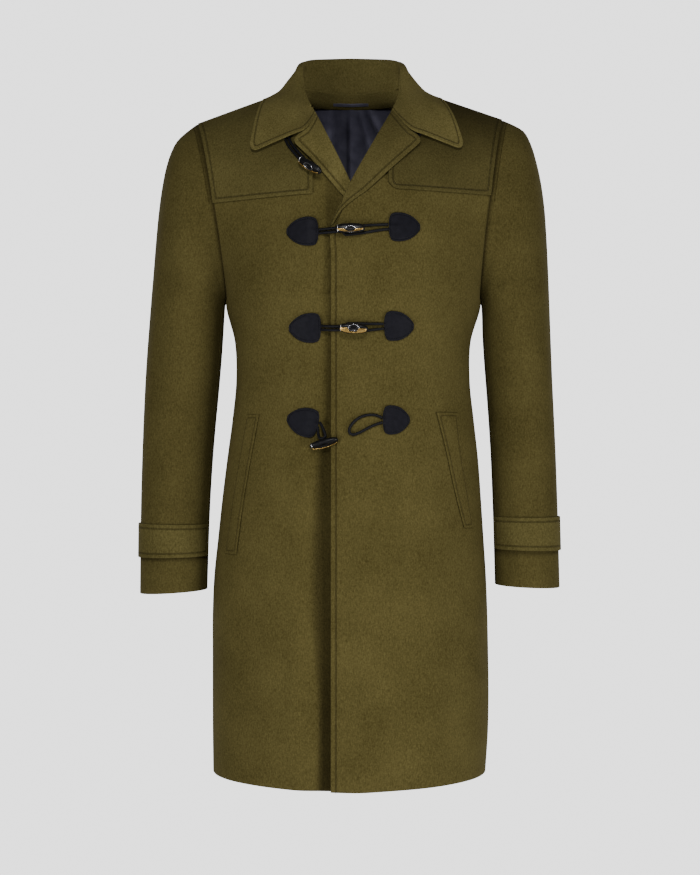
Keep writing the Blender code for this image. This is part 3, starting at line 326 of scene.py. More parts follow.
def refined(grid, spacing):
    """The grid on a smooth surface through its points, with rows and columns about spacing apart."""
    for axis in (0, 1):
        rows = grid if axis == 0 else grid.transpose(1, 0, 2)
        gaps = np.linalg.norm(np.diff(rows, axis=0), axis=2).mean(axis=1)
        slopes = np.diff(rows, axis=0) / gaps[:, None, None]
        tangents = np.concatenate((
            slopes[:1],
            (slopes[1:] * gaps[:-1, None, None] + slopes[:-1] * gaps[1:, None, None])
            / (gaps[1:] + gaps[:-1])[:, None, None],
            slopes[-1:],
        ))
        finer = []
        for k, gap in enumerate(gaps):
            count = max(1, round(gap / spacing))
            for t in np.arange(count) / count:
                finer.append((2 * t ** 3 - 3 * t ** 2 + 1) * rows[k]
                             + (3 * t ** 2 - 2 * t ** 3) * rows[k + 1]
                             + (t ** 3 - 2 * t ** 2 + t) * gap * tangents[k]
                             + (t ** 3 - t ** 2) * gap * tangents[k + 1])
        finer.append(rows[-1])
        rows = np.array(finer)
        grid = rows if axis == 0 else rows.transpose(1, 0, 2)
    return grid


def face_normals(grid, facing):
    """Unit normals at the grid's points, on the side that shows."""
    normals = np.cross(np.gradient(grid, axis=1), np.gradient(grid, axis=0)) * facing
    return normals / np.maximum(np.linalg.norm(normals, axis=2, keepdims=True), TINY)


def edge_distances(grid, edges):
    """Each point's way along the cloth to the nearest of the named edges, across the rows and down them."""
    down = travelled(grid)
    across = travelled(grid.transpose(1, 0, 2)).T
    ways = {"first_row": down, "last_row": down[-1] - down,
            "first_column": across, "last_column": across[:, -1:] - across}
    nearest = np.full(grid.shape[:2], UNMARKED)
    for edge in edges:
        nearest = np.minimum(nearest, ways[edge])
    return nearest, across, down


def stitch_line(grid, facing, edge, inset, trims=(0.0, 0.0)):
    """A line on the cloth that far in from one of its edges, trimmed at both ends, with its normals."""
    cloth = np.concatenate((grid, face_normals(grid, facing)), axis=2)
    if edge.endswith("row"):
        cloth = cloth.transpose(1, 0, 2)
    if edge.startswith("last"):
        cloth = cloth[:, ::-1]
    line = []
    for course in cloth:
        away = travelled(course[:, :3])
        line.append([np.interp(inset, away, course[:, k]) for k in range(6)])
    line = np.array(line)
    along = travelled(line[:, :3])
    return line[(along >= trims[0]) & (along <= along[-1] - trims[1])]


def sewn(name, lines, pitch, made_of):
    """Rows of single stitches along the lines, as one plain mesh."""
    points = np.concatenate(lines)
    ends = np.cumsum([len(line) for line in lines])
    data = bpy.data.meshes.new(name)
    steps = [(k, k + 1) for k in range(len(points) - 1) if k + 1 not in ends]
    data.from_pydata(points[:, :3].tolist(), steps, [])
    data.attributes.new("out", "FLOAT_VECTOR", "POINT").data.foreach_set("vector", points[:, 3:].ravel())
    guide = linked(name + "_guide", data)
    rows = guide.modifiers.new("stitches", "NODES")
    rows.node_group = stitching
    values = {"Pitch": pitch, "Length": pitch * STITCH_SHARE, "Thread": THREAD_THICK, "Made Of": made_of}
    for item in stitching.interface.items_tree:
        if item.name in values:
            rows[item.identifier] = values[item.name]
    done = bpy.data.meshes.new_from_object(guide.evaluated_get(bpy.context.evaluated_depsgraph_get()))
    guide.modifiers.remove(rows)
    bpy.data.objects.remove(guide)
    done.name = name
    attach(linked(name, done), "root")


def cut_cloth(grid):
    down = travelled(grid)[-1].max()
    across = travelled(grid.transpose(1, 0, 2))[-1].max()
    a, b, c, d = grid[:-1, :-1], grid[:-1, 1:], grid[1:, 1:], grid[1:, :-1]


def cloth_piece(name, grid, facing, thick, made_of, stitched=(), crushed=0.0, stitched_above=EVERYWHERE):
    """A wall of cloth with rolled edges: the grid is its visible side, and its thickness goes inwards. Its
    colour is darkened by painted shade, fully where the shade mark nears 1. Topstitching marks it above that
    height only."""
    rows, columns = grid.shape[:2]
    normals = face_normals(grid, facing)
    nearest, across, down = edge_distances(grid, stitched)
    nearest[grid[..., 2] < stitched_above] = UNMARKED
    ring = [(0, j) for j in range(columns)] + [(i, columns - 1) for i in range(1, rows)]
    ring += [(rows - 1, j) for j in range(columns - 2, -1, -1)] + [(i, 0) for i in range(rows - 2, 0, -1)]
    at_edge = tuple(np.array(ring).T)
    edge = grid[at_edge]
    out = normals[at_edge]
    inner = (np.clip(at_edge[0], 1, rows - 2), np.clip(at_edge[1], 1, columns - 2))
    inwards = unit(grid[inner] - edge)
    top = grid.copy()
    bottom = grid - normals * thick
    top[at_edge] = edge + inwards * thick * ROLL_CORNER
    bottom[at_edge] = edge - out * thick + inwards * thick * ROLL_CORNER
    roll = [edge + inwards * thick * share - out * thick * depth for share, depth in ROLL]
    points = np.concatenate([top.reshape(-1, 3), bottom.reshape(-1, 3), *roll])
    count = rows * columns
    faces = []
    for i in range(rows - 1):
        for j in range(columns - 1):
            a = i * columns + j
            quad = (a, a + 1, a + columns + 1, a + columns)
            faces += [quad, tuple(corner + count for corner in quad[::-1])]
    flat = at_edge[0] * columns + at_edge[1]
    starts = [count * 2 + len(ring) * k for k in range(len(ROLL))]
    around = [flat, *(start + np.arange(len(ring)) for start in starts), flat + count]
    for near, far in zip(around, around[1:]):
        for k in range(len(ring)):
            after = (k + 1) % len(ring)
            faces.append((int(near[after]), int(near[k]), int(far[k]), int(far[after])))
    if facing < 0:
        faces = [face[::-1] for face in faces]
    data = bpy.data.meshes.new(name)
    data.from_pydata(points.tolist(), [], faces)
    data.polygons.foreach_set("use_smooth", [True] * len(data.polygons))

    def spread(values):
        return np.concatenate([values.ravel(), values.ravel(), *[values[at_edge]] * len(ROLL)])

    for mark, values in (("from_edge", nearest), ("crushed", np.full(grid.shape[:2], crushed))):
        layer = data.attributes.new(mark, "FLOAT", "POINT")
        layer.data.foreach_set("value", spread(values).astype(np.float32))
    corners = np.zeros(len(data.loops), np.int32)
    data.loops.foreach_get("vertex_index", corners)
    flat_map = np.stack((spread(across), spread(down)), axis=1)[corners]
    data.uv_layers.new(name="cloth").data.foreach_set("uv", flat_map.astype(np.float32).ravel())
    data.materials.append(made_of)
    data.validate()
    return linked(name, data)


def wool_wall(node, grid, facing, made_of, held, thick=WOOL_THICK, **marks):
    """A wall of wool in place of that CAD node."""
    piece = cloth_piece("wool_" + node, grid, facing, thick, made_of, **marks)
    dress(piece, node)
    cut_cloth(grid)


def node_group(name, kind, inputs, outputs):
    """A new node group with those sockets, and its input and output nodes."""
    group = bpy.data.node_groups.new(name, kind)
    for way, sockets in (("INPUT", inputs), ("OUTPUT", outputs)):
        for socket, holds in sockets:
            group.interface.new_socket(socket, in_out=way, socket_type="NodeSocket" + holds)
    return group, group.nodes.new("NodeGroupInput"), group.nodes.new("NodeGroupOutput")


# Felted wool: a fine mottle of fibres lying mostly downwards, and a soft nap over them.
felt, given, found = node_group(
    "felted_wool", "ShaderNodeTree",
    (("Place", "Vector"), ("Mottle", "Float"), ("Fibre", "Float")), (("Tone", "Float"), ("Nap", "Float")))
laid = add(felt, "ShaderNodeMapping", {"Scale": (1, 1, 0.22)})
mottle = add(felt, "ShaderNodeTexNoise", {"Detail": 4, "Roughness": 0.62})
fibre = add(felt, "ShaderNodeTexNoise", {"Detail": 3})
cloud = add(felt, "ShaderNodeTexNoise", {"Scale": 14, "Detail": 3})
half = add(felt, "ShaderNodeMath", {1: 0.55}, operation="MULTIPLY_ADD")
most = add(felt, "ShaderNodeMath", {1: 0.45}, operation="MULTIPLY")
blend = add(felt, "ShaderNodeMath", {1: 0.26}, operation="MULTIPLY_ADD")
steady = add(felt, "ShaderNodeMath", {1: 0.130}, operation="SUBTRACT")
wire(felt,
     (given, "Place", laid, "Vector"),
     (given, "Place", mottle, "Vector"),
     (given, "Mottle", mottle, "Scale"),
     (laid, "Vector", fibre, "Vector"),
     (given, "Fibre", fibre, "Scale"),
     (given, "Place", cloud, "Vector"),
     (fibre, "Fac", most, 0),
     (mottle, "Fac", half, 0),
     (most, "Value", half, 2),
     (cloud, "Fac", blend, 0),
     (half, "Value", blend, 2),
     (blend, "Value", steady, 0),
     (steady, "Value", found, "Tone"),
     (half, "Value", found, "Nap"))

# Topstitching presses a shallow channel into the cloth, a set way in from the edge.
channel, given, found = node_group(
    "pressed_channel", "ShaderNodeTree",
    (("From Edge", "Float"), ("Line", "Float"), ("Half Width", "Float")), (("Depth", "Float"),))
away = add(channel, "ShaderNodeMath", operation="SUBTRACT")
size = add(channel, "ShaderNodeMath", operation="ABSOLUTE")
pressed = add(channel, "ShaderNodeMapRange", {"From Min": 0, "To Min": 1, "To Max": 0},
              interpolation_type="SMOOTHSTEP")
wire(channel,
     (given, "From Edge", away, 0),
     (given, "Line", away, 1),
     (away, "Value", size, 0),
     (size, "Value", pressed, "Value"),
     (given, "Half Width", pressed, "From Max"),
     (pressed, "Result", found, "Depth"))


def melton(name, shadow, light, line, pressed=0.9, half_width=0.0021):
    """Olive melton wool between two colours, topstitched that far in from its marked edges."""
    wool, tree, surface = material(name, {
        "Roughness": 0.92, "Specular IOR Level": 0.10,
        "Sheen Weight": 0.035, "Sheen Roughness": 0.55, "Sheen Tint": (0.62, 0.50, 0.20, 1),
    })
    place = add(tree, "ShaderNodeTexCoord")
    wool_felt = add(tree, "ShaderNodeGroup", {"Mottle": 430, "Fibre": 900}, node_tree=felt)
    marked = add(tree, "ShaderNodeAttribute", attribute_name="from_edge")
    stitched = add(tree, "ShaderNodeGroup", {"Line": line, "Half Width": half_width}, node_tree=channel)
    tone = tones(tree, 0.33, shadow, 0.67, light)
    # Painted shade: the tone is darkened along the topstitching's pressed channel.
    darker = add(tree, "ShaderNodeMath", {1: -0.16}, operation="MULTIPLY_ADD")
    # Painted shade: the tone is multiplied towards a dark olive where the shade mark nears 1.
    crushed = add(tree, "ShaderNodeAttribute", attribute_name="crushed")
    shaded_tone = add(tree, "ShaderNodeMix", {"B": (0.20, 0.18, 0.12, 1)},
                 data_type="RGBA", blend_type="MULTIPLY")
    nap = add(tree, "ShaderNodeBump", {"Distance": 0.0004, "Strength": 0.5})
    press = add(tree, "ShaderNodeBump", {"Distance": 0.0013, "Strength": pressed}, invert=True)
    wire(tree,
         (place, "Object", wool_felt, "Place"),
         (marked, "Fac", stitched, "From Edge"),
         (stitched, "Depth", darker, 0),
         (wool_felt, "Tone", darker, 2),
         (darker, "Value", tone, "Fac"),
         (crushed, "Fac", shaded_tone, "Factor"),
         (tone, "Color", shaded_tone, "A"),
         (shaded_tone, "Result", surface, "Base Color"),
         (stitched, "Depth", press, "Height"),
         (wool_felt, "Nap", nap, "Height"),
         (press, "Normal", nap, "Normal"),
         (nap, "Normal", surface, "Normal"))
    return wool


# One stitch is a short lens of thread, laid along the seam line every pitch.
stitching, given, found = node_group(
    "stitch_row", "GeometryNodeTree",
    (("Seam Lines", "Geometry"), ("Pitch", "Float"), ("Length", "Float"), ("Thread", "Float"),
     ("Made Of", "Material")),
    (("Stitches", "Geometry"),))
as_curve = add(stitching, "GeometryNodeMeshToCurve")
spaced = add(stitching, "GeometryNodeResampleCurve", mode="LENGTH")
lens_of_thread = add(stitching, "GeometryNodeMeshUVSphere", {"Segments": 6, "Rings": 5, "Radius": 0.5})
along_seam = add(stitching, "GeometryNodeInputTangent")
out_of_cloth = add(stitching, "GeometryNodeInputNamedAttribute", {"Name": "out"}, data_type="FLOAT_VECTOR")
laid_along = add(stitching, "FunctionNodeAlignRotationToVector", axis="Z")
turned_out = add(stitching, "FunctionNodeAlignRotationToVector", axis="X", pivot_axis="Z")
thread_size = add(stitching, "ShaderNodeCombineXYZ")
placed = add(stitching, "GeometryNodeInstanceOnPoints")
realized = add(stitching, "GeometryNodeRealizeInstances")
coloured = add(stitching, "GeometryNodeSetMaterial")
wire(stitching,
     (given, "Seam Lines", as_curve, "Mesh"),
     (as_curve, "Curve", spaced, "Curve"),
     (given, "Pitch", spaced, "Length"),
     (spaced, "Curve", placed, "Points"),
     (lens_of_thread, "Mesh", placed, "Instance"),
     (along_seam, "Tangent", laid_along, "Vector"),
     (laid_along, "Rotation", turned_out, "Rotation"),
     (out_of_cloth, "Attribute", turned_out, "Vector"),
     (turned_out, "Rotation", placed, "Rotation"),
     (given, "Thread", thread_size, "X"),
     (given, "Thread", thread_size, "Y"),
     (given, "Length", thread_size, "Z"),
     (thread_size, "Vector", placed, "Scale"),
     (placed, "Instances", realized, "Geometry"),
     (realized, "Geometry", coloured, "Geometry"),
     (given, "Made Of", coloured, "Material"),
     (coloured, "Geometry", found, "Stitches"))


def twisted_thread(name, dark, light):
    """Sewing thread with a fine twist, between two colours."""
    thread, tree, surface = material(name, {"Roughness": 0.7, "Specular IOR Level": 0.25})
    place = add(tree, "ShaderNodeTexCoord")
    twist = add(tree, "ShaderNodeTexNoise", {"Scale": 3000})
    tone = tones(tree, 0.35, dark, 0.65, light)
    wire(tree,
         (place, "Object", twist, "Vector"),
         (twist, "Fac", tone, "Fac"),
         (tone, "Color", surface, "Base Color"))
    return thread


BODY_SPACING, LAP_SPACING = 0.0055, 0.0040
STITCH_PITCH = 0.0042
BODY_STITCH = 0.0074               # topstitching's way in from an edge
BODY_SHADOW, BODY_LIGHT = (0.0435, 0.0346, 0.0082), (0.1060, 0.0875, 0.0275)
body_wool = melton("melton_body", BODY_SHADOW, BODY_LIGHT, BODY_STITCH)
olive_thread = twisted_thread("olive_thread", (0.036, 0.029, 0.008), (0.064, 0.053, 0.016))

# Soft creases, each a low rounded ridge, or a hollow where its height is below nothing.
Crease = namedtuple("Crease", "node x1 z1 x2 z2 width height")
CREASES = (
    Crease("front_left", 0.092, -0.462, 0.172, -0.438, 0.0060, 0.0017),
    Crease("front_left", 0.098, -0.474, 0.176, -0.452, 0.0060, -0.0012),
    Crease("front_left", 0.148, -0.685, 0.161, -0.775, 0.0060, 0.0012),
    Crease("front_left", 0.105, -0.620, 0.118, -1.060, 0.0260, 0.0022),
    Crease("front_left", 0.052, -0.700, 0.058, -1.060, 0.0240, -0.0016),
    Crease("front_right", -0.114, -0.558, -0.028, -0.528, 0.0090, 0.0013),
    Crease("front_right", -0.070, -0.640, -0.076, -1.060, 0.0260, 0.0018),
    Crease("front_right", -0.140, -0.600, -0.150, -1.060, 0.0240, -0.0016),
    Crease("back_left", 0.060, -0.560, 0.085, -1.060, 0.0300, 0.0030),
    Crease("back_right", -0.055, -0.560, -0.080, -1.060, 0.0300, 0.0030),
    Crease("back_left", 0.020, -0.390, 0.130, -0.420, 0.0120, 0.0020),
    Crease("back_right", -0.130, -0.425, -0.015, -0.400, 0.0120, 0.0020),
)


def creased(grid, facing, node, creases):
    """The grid with that piece's creases pressed into it or raised on it."""
    normals = face_normals(grid, facing)
    for crease in creases:
        if crease.node != node:
            continue
        way = np.array((crease.x2 - crease.x1, crease.z2 - crease.z1))
        flat = grid[:, :, (0, 2)] - (crease.x1, crease.z1)
        share = np.clip(flat @ way / (way @ way), 0, 1)
        away = np.linalg.norm(flat - share[..., None] * way, axis=2)
        swell = np.sin(np.pi * np.clip(share, 0.001, 0.999))
        height = crease.height * swell * np.exp(-(away / crease.width) ** 2)
        grid = grid + normals * height[..., None]
    return grid


# Painted shadow of the lapping left front: the right front's colour is darkened in a strip beside the lap,
# wider towards the hem.
LapStrip = namedtuple("LapStrip", "z width strength")
LAP_EDGE_X = -0.0290
LAP_STRIP = (
    LapStrip(-1.100, 0.0240, 0.80), LapStrip(-1.000, 0.0240, 0.78), LapStrip(-0.880, 0.0220, 0.74),
    LapStrip(-0.760, 0.0330, 0.62), LapStrip(-0.640, 0.0330, 0.58), LapStrip(-0.540, 0.0260, 0.56),
    LapStrip(-0.460, 0.0080, 0.52), LapStrip(-0.420, 0.0055, 0.55), LapStrip(-0.215, 0.0050, 0.45),
    LapStrip(-0.150, 0.0110, 0.22),
)
LAP_PLATEAU = 0.50                 # share of the strip that is shaded all through


def lap_shadow(grid):
    """How much painted shadow the lap throws on the right front at each point of its grid."""
    heights = [row.z for row in LAP_STRIP]
    width = np.interp(grid[..., 2], heights, [row.width for row in LAP_STRIP])
    strength = np.interp(grid[..., 2], heights, [row.strength for row in LAP_STRIP])
    share = np.clip(((LAP_EDGE_X - grid[..., 0]) / width - LAP_PLATEAU) / (1 - LAP_PLATEAU), 0, 1)
    return strength * (1 - share * share * (3 - 2 * share))


SEAM_ALLOWANCE, SEAM_DIP = 0.0034, 0.0034
SEAM_TURN = 0.0007                 # how far before the seam the cloth starts to turn in
PANEL_SEAM_SHADE = 0.55                  # how dark the painted shade is along a seam


def seamed(grid, facing, edge):
    """The grid with a seam allowance past its first or last column, dipping in under the piece sewn to it."""
    here, before = (0, 1) if edge == "first_column" else (-1, -2)
    onwards = unit(grid[:, here] - grid[:, before])
    under = grid[:, here] + onwards * SEAM_ALLOWANCE - face_normals(grid, facing)[:, here] * SEAM_DIP
    grid = grid.copy()
    grid[:, here] -= onwards * SEAM_TURN
    return np.concatenate((under[:, None], grid) if here == 0 else (grid, under[:, None]), axis=1)


for layout in BODY_PANELS:
    grid, facing = visible_side(layout)
    spacing = LAP_SPACING if layout.node == "front_right" else BODY_SPACING
    grid = creased(refined(grid, spacing), facing, layout.node, CREASES)
    # Painted shadow on the right front beside the lap.
    crushed = lap_shadow(grid) if layout.node == "front_right" else np.zeros(grid.shape[:2])
    # Painted shade: a dark line along each panel's seams.
    crushed[:, -1] = PANEL_SEAM_SHADE
    if layout.node.startswith("back"):
        crushed[:, 0] = PANEL_SEAM_SHADE
        crushed = np.concatenate((crushed[:, :1], crushed), axis=1)
    crushed = np.concatenate((crushed, crushed[:, -1:]), axis=1)
    grid = seamed(grid, facing, "last_column")
    if layout.node.startswith("back"):
        grid = seamed(grid, facing, "first_column")
    stitched = ("first_column",) if layout.node == "front_left" else ()
    wool_wall(layout.node, grid, facing, body_wool, "hung", stitched=stitched, crushed=crushed)
    if stitched:
        line = stitch_line(grid, facing, "first_column", BODY_STITCH)
        sewn("thread_front_edge", [line], STITCH_PITCH, olive_thread)


# ---------------------------------------------------------------- sleeves
# Two-piece set-in sleeves of the same wool, slightly bent at the elbow. Each is a wide top half and a narrow
# under half, and is sewn in under the edge of the body panels at the armhole.
SLEEVES = (
    Layout("sleeve_left_top", 19, 17, (0.19, -0.02, -0.3)),
    Layout("sleeve_right_top", 19, 17, (-0.19, -0.02, -0.3)),
    Layout("sleeve_left_under", 19, 5, (0.19, -0.02, -0.3)),
    Layout("sleeve_right_under", 19, 5, (-0.19, -0.02, -0.3)),
)
SLEEVE_CREASES = (
    Crease("sleeve_right_top", -0.272, -0.352, -0.212, -0.325, 0.0075, 0.0022),
    Crease("sleeve_right_top", -0.276, -0.385, -0.216, -0.372, 0.0080, -0.0016),
    Crease("sleeve_right_top", -0.262, -0.250, -0.205, -0.300, 0.0090, 0.0016),
    Crease("sleeve_right_top", -0.292, -0.520, -0.238, -0.490, 0.0085, 0.0012),
    Crease("sleeve_left_top", 0.274, -0.360, 0.210, -0.330, 0.0075, 0.0022),
    Crease("sleeve_left_top", 0.278, -0.395, 0.214, -0.380, 0.0080, -0.0016),
    Crease("sleeve_left_top", 0.262, -0.255, 0.205, -0.300, 0.0090, 0.0016),
    Crease("sleeve_left_top", 0.294, -0.530, 0.240, -0.500, 0.0085, 0.0012),
)
SLEEVE_SPACING = 0.0050
SEAM_TUCK = 0.010                  # the seam allowance that goes in under the body at the armhole
SEAM_DROP = 0.0042
SEAM_SHADE = 0.0040                # how far painted shade reaches beside the armhole seam
# Painted shade: the sleeves' colour is darkened all over, and more beside the armhole seam.
SLEEVE_SHADE, ARMHOLE_SHADE = 0.15, 0.62
SEAM_STITCH, SEAM_STITCH_WIDTH = 0.0068, 0.0015
SEAM_STITCH_END = -0.165           # the cap of the sleeve is topstitched down to that height
CUFF_SHADE_LEFT, CUFF_SHADE_RIGHT = -0.6715, -0.6800     # painted shadow just under each cuff strap
CUFF_SHADE, CUFF_SHADOW = 0.0035, 0.55


def tucked(grid, facing):
    """The sleeve's grid with its seam allowance before the first row, going in under the body."""
    outwards = unit(grid[0] - grid[1])
    under = grid[0] + outwards * SEAM_TUCK - face_normals(grid, facing)[0] * SEAM_DROP
    return np.concatenate((under[None], grid))


sleeve_wool = melton("melton_sleeve", BODY_SHADOW, BODY_LIGHT, SEAM_TUCK + SEAM_STITCH, pressed=0.5,
                     half_width=SEAM_STITCH_WIDTH)
for layout in SLEEVES:
    grid, facing = visible_side(layout)
    grid = creased(refined(grid, SLEEVE_SPACING), facing, layout.node, SLEEVE_CREASES)
    whole = tucked(grid, facing)
    from_seam = edge_distances(whole, ("first_row",))[0] - SEAM_TUCK
    # Painted shade all over the sleeve, and more beside the armhole seam.
    crushed = SLEEVE_SHADE + ARMHOLE_SHADE * np.exp(-(np.maximum(from_seam, 0) / SEAM_SHADE) ** 2)
    # Painted shadow just under the cuff strap.
    shade_line = CUFF_SHADE_RIGHT if "right" in layout.node else CUFF_SHADE_LEFT
    crushed += CUFF_SHADOW * np.exp(-((whole[..., 2] - shade_line) / CUFF_SHADE) ** 2)
    stitched = ("first_row",) if layout.node.endswith("top") else ()
    wool_wall(layout.node, whole, facing, sleeve_wool, "hung", stitched=stitched, crushed=crushed,
              stitched_above=SEAM_STITCH_END)


# ---------------------------------------------------------------- collar and lapels
# The collar is two layers pressed together, standing at the neck and folding over to two long points. The
# lapels are the fronts' own turned-back facing. Both are topstitched near their edges.
COLLAR = Layout("collar", 10, 25, (0.169, -0.078, -0.075))
LAPELS = (
    Layout("lapel_left", 10, 5, (0.06, -0.06, -0.02)),
    Layout("lapel_right", 10, 5, (-0.06, -0.06, -0.02)),
)
OUTER_EDGES = ("first_row", "first_column", "last_column")
COLLAR_SPACING = 0.0030
COLLAR_STITCH = 0.0075
NECK_TRIM = 0.020                  # the topstitching of the points ends that far short of the neck
LAPEL_SHADE = 0.34                 # painted shade that darkens the left lapel
COLLAR_TIP, LAPEL_TIP = 0.020, 0.013
INSIDE_ROWS = (0.55, 0.70)         # shares of the way from edge to seam between which the fold turns inside
# How dark the painted shade is inside the collar at the back of the neck.
INSIDE_SHADE = 0.10
INSIDE_REACH, INSIDE_FADE, INSIDE_FRONT = 0.085, 0.020, -0.06
SHOULDER_SETTLE = 0.0080           # how far the leaf settles on the round of each shoulder
SHOULDER_X, SHOULDER_WIDE = 0.128, 0.022
SHOULDER_Y, SHOULDER_DEEP = 0.006, 0.030


def rounded_corner(grid, row_edge, column_edge, radius):
    """The grid with its corner between those two edges drawn in to a round tip."""
    rows = grid[::-1] if row_edge == "last_row" else grid
    turned = rows[:, ::-1] if column_edge == "last_column" else rows
    turned = turned.copy()
    down, across = travelled(turned[:, 0]), travelled(turned[0])
    into_down = unit(turned[1, 0] - turned[0, 0])
    into_across = unit(turned[0, 1] - turned[0, 0])
    for i in range(np.searchsorted(down, radius)):
        for j in range(np.searchsorted(across, radius)):
            a, b = radius - down[i], radius - across[j]
            reach = math.hypot(a, b)
            if reach > 0:
                kept = max(a, b) / reach
                turned[i, j] += (into_down * a + into_across * b) * (1 - kept)
    rows = turned[:, ::-1] if column_edge == "last_column" else turned
    return rows[::-1] if row_edge == "last_row" else rows


def topstitched(node, grid, facing, inset, edges):
    """Olive topstitching that far in from those edges, each trimmed by inset at its start and as given at
    its end."""
    lines = [stitch_line(grid, facing, edge, inset, (inset, trim)) for edge, trim in edges.items()]
    sewn("thread_" + node, lines, STITCH_PITCH, olive_thread)


# The collar, lapels and neck facing use a lighter copy of the body wool: painted light, lifting pieces the
# lamps leave too dark.
lightened_wool = melton("melton_collar", (0.0630, 0.0515, 0.0134), (0.1500, 0.1260, 0.0430), COLLAR_STITCH)
grid, facing = visible_side(COLLAR)
grid = refined(grid, COLLAR_SPACING)
for edge in ("first_column", "last_column"):
    grid = rounded_corner(grid, "first_row", edge, COLLAR_TIP)
over_shoulder = (np.exp(-((np.abs(grid[..., 0]) - SHOULDER_X) / SHOULDER_WIDE) ** 2)
                 * np.exp(-((grid[..., 1] - SHOULDER_Y) / SHOULDER_DEEP) ** 2))
grid[..., 2] -= SHOULDER_SETTLE * over_shoulder
# Painted shade inside the collar at the back of the neck, from where the fold turns inside down to the seam.
share = np.arange(len(grid)) / (len(grid) - 1)
inside = np.clip((share - INSIDE_ROWS[0]) / (INSIDE_ROWS[1] - INSIDE_ROWS[0]), 0, 1)
middle = (np.clip((INSIDE_REACH - np.abs(grid[..., 0])) / INSIDE_FADE, 0, 1)
          * (grid[..., 1] > INSIDE_FRONT))
crushed = INSIDE_SHADE * inside[:, None] * middle
wool_wall("collar", grid, facing, lightened_wool, "folded", stitched=OUTER_EDGES, crushed=crushed)
topstitched("collar", grid, facing, COLLAR_STITCH, {
    "first_row": COLLAR_STITCH, "first_column": NECK_TRIM, "last_column": NECK_TRIM})
for layout in LAPELS:
    grid, facing = visible_side(layout)
    grid = rounded_corner(refined(grid, COLLAR_SPACING), "first_row", "last_column", LAPEL_TIP)
    # Painted shade on the left lapel.
    crushed = LAPEL_SHADE if layout.node == "lapel_left" else 0.0
    wool_wall(layout.node, grid, facing, lightened_wool, "folded", stitched=("last_column", "first_row"),
              crushed=crushed)
    topstitched(layout.node, grid, facing, COLLAR_STITCH, {"first_row": COLLAR_STITCH, "last_column": 0})


# ---------------------------------------------------------------- yokes, welts and cuff straps
# Second layers of the same wool laid on the coat and topstitched: a yoke over each shoulder, a slanted
# pocket welt below each side of the waist, and a strap round each cuff.
# Its last two columns are painted shade on the yokes: all over the piece, and more towards the top of the
# shoulder.
Overlay = namedtuple("Overlay", "layout stitched thick crushed worn")
LAID_THICK, WELT_THICK = 0.0023, 0.0012
STRAP_EDGES = ("first_row", "last_row", "last_column")
ALL_EDGES = ("first_row", "last_row", "first_column", "last_column")
OVERLAYS = (
    Overlay(Layout("yoke_left", 8, 10, (0.054, -0.132, -0.145)), OUTER_EDGES, LAID_THICK, 0.24, 0.66),
    Overlay(Layout("yoke_right", 8, 10, (-0.055, -0.131, -0.153)), OUTER_EDGES, LAID_THICK, 0.06, 0.20),
    Overlay(Layout("welt_left", 8, 3, (0.157, -0.085, -0.466)), ALL_EDGES, WELT_THICK, 0.0, 0.0),
    Overlay(Layout("welt_right", 8, 3, (-0.154, -0.083, -0.469)), ALL_EDGES, WELT_THICK, 0.0, 0.0),
    Overlay(Layout("cuff_strap_left", 3, 21, (0.309, 0.003, -0.619)), STRAP_EDGES, LAID_THICK, 0.0, 0.0),
    Overlay(Layout("cuff_strap_right", 3, 23, (-0.306, 0.018, -0.629)), STRAP_EDGES, LAID_THICK, 0.0, 0.0),
)
LAID_SPACING = 0.0032
LAID_STITCH, WELT_STITCH = 0.0065, 0.0045
YOKE_CORNER = 0.016                # the left yoke's lower inner corner is round
SHOULDER_SHADE_FROM = -0.11                  # painted shade on a yoke grows from there up to the top of the shoulder
WELT_SINK = 0.0012                 # the welt's cloth is pressed flatter than the other layers
laid_wool = melton("melton_laid", (0.0455, 0.0371, 0.0094), (0.1110, 0.0935, 0.0305), LAID_STITCH)
welt_wool = melton("melton_welt", BODY_SHADOW, BODY_LIGHT, WELT_STITCH, pressed=0.3)
for layout, stitched, thick, crushed, wear_and_shade in OVERLAYS:
    grid, facing = visible_side(layout)
    grid = refined(grid, LAID_SPACING)
    is_welt = layout.node.startswith("welt")
    if is_welt:
        grid = grid - face_normals(grid, facing) * WELT_SINK
    if layout.node == "yoke_left":
        grid = rounded_corner(grid, "first_row", "first_column", YOKE_CORNER)
    # Painted shade: darker all over a yoke, and more towards the top of the shoulder.
    overlay_shade = crushed + wear_and_shade * np.clip(1 - grid[..., 2] / SHOULDER_SHADE_FROM, 0, 1)
    made_of, inset = (welt_wool, WELT_STITCH) if is_welt else (laid_wool, LAID_STITCH)
    wool_wall(layout.node, grid, facing, made_of, "laid", thick, stitched=stitched, crushed=overlay_shade)
    topstitched(layout.node, grid, facing, inset, dict.fromkeys(stitched, inset))


# ---------------------------------------------------------------- neck facing, hanger loop and lining
# Inside the neck: a strip of the same wool below the collar, a short loop to hang the coat by, and the
# lining of dark satin, with a pleat down its middle for ease.
FACING = Layout("neck_facing", 3, 11, (-0.056, 0.060, 0.001))
LINING = Layout("lining", 9, 13, (-0.179, 0.031, -0.300))
HANGER = Layout("hanger_loop", 2, 9, (-0.024, 0.067, 0.003))
HANGER_WIDER, HANGER_OUT, HANGER_UP = 1.16, 0.0022, 0.0035
FACING_SPACING, LINING_SPACING, HANGER_SPACING = 0.0035, 0.0032, 0.0015
FACING_THICK, LINING_THICK, HANGER_THICK = 0.0020, 0.0010, 0.0012
FACING_ENDS = 0.028                # how far the strip runs on under the collar's foot on each side
grid, facing = visible_side(FACING)
grid = refined(grid, FACING_SPACING)
first_end = grid[:, 0] + FACING_ENDS * unit(grid[:, 0] - grid[:, 1])
last_end = grid[:, -1] + FACING_ENDS * unit(grid[:, -1] - grid[:, -2])
grid = np.concatenate((first_end[:, None], grid, last_end[:, None]), axis=1)
# The neck facing is in the lighter wool, painted light.
wool_wall("neck_facing", grid, facing, lightened_wool, "laid", FACING_THICK)

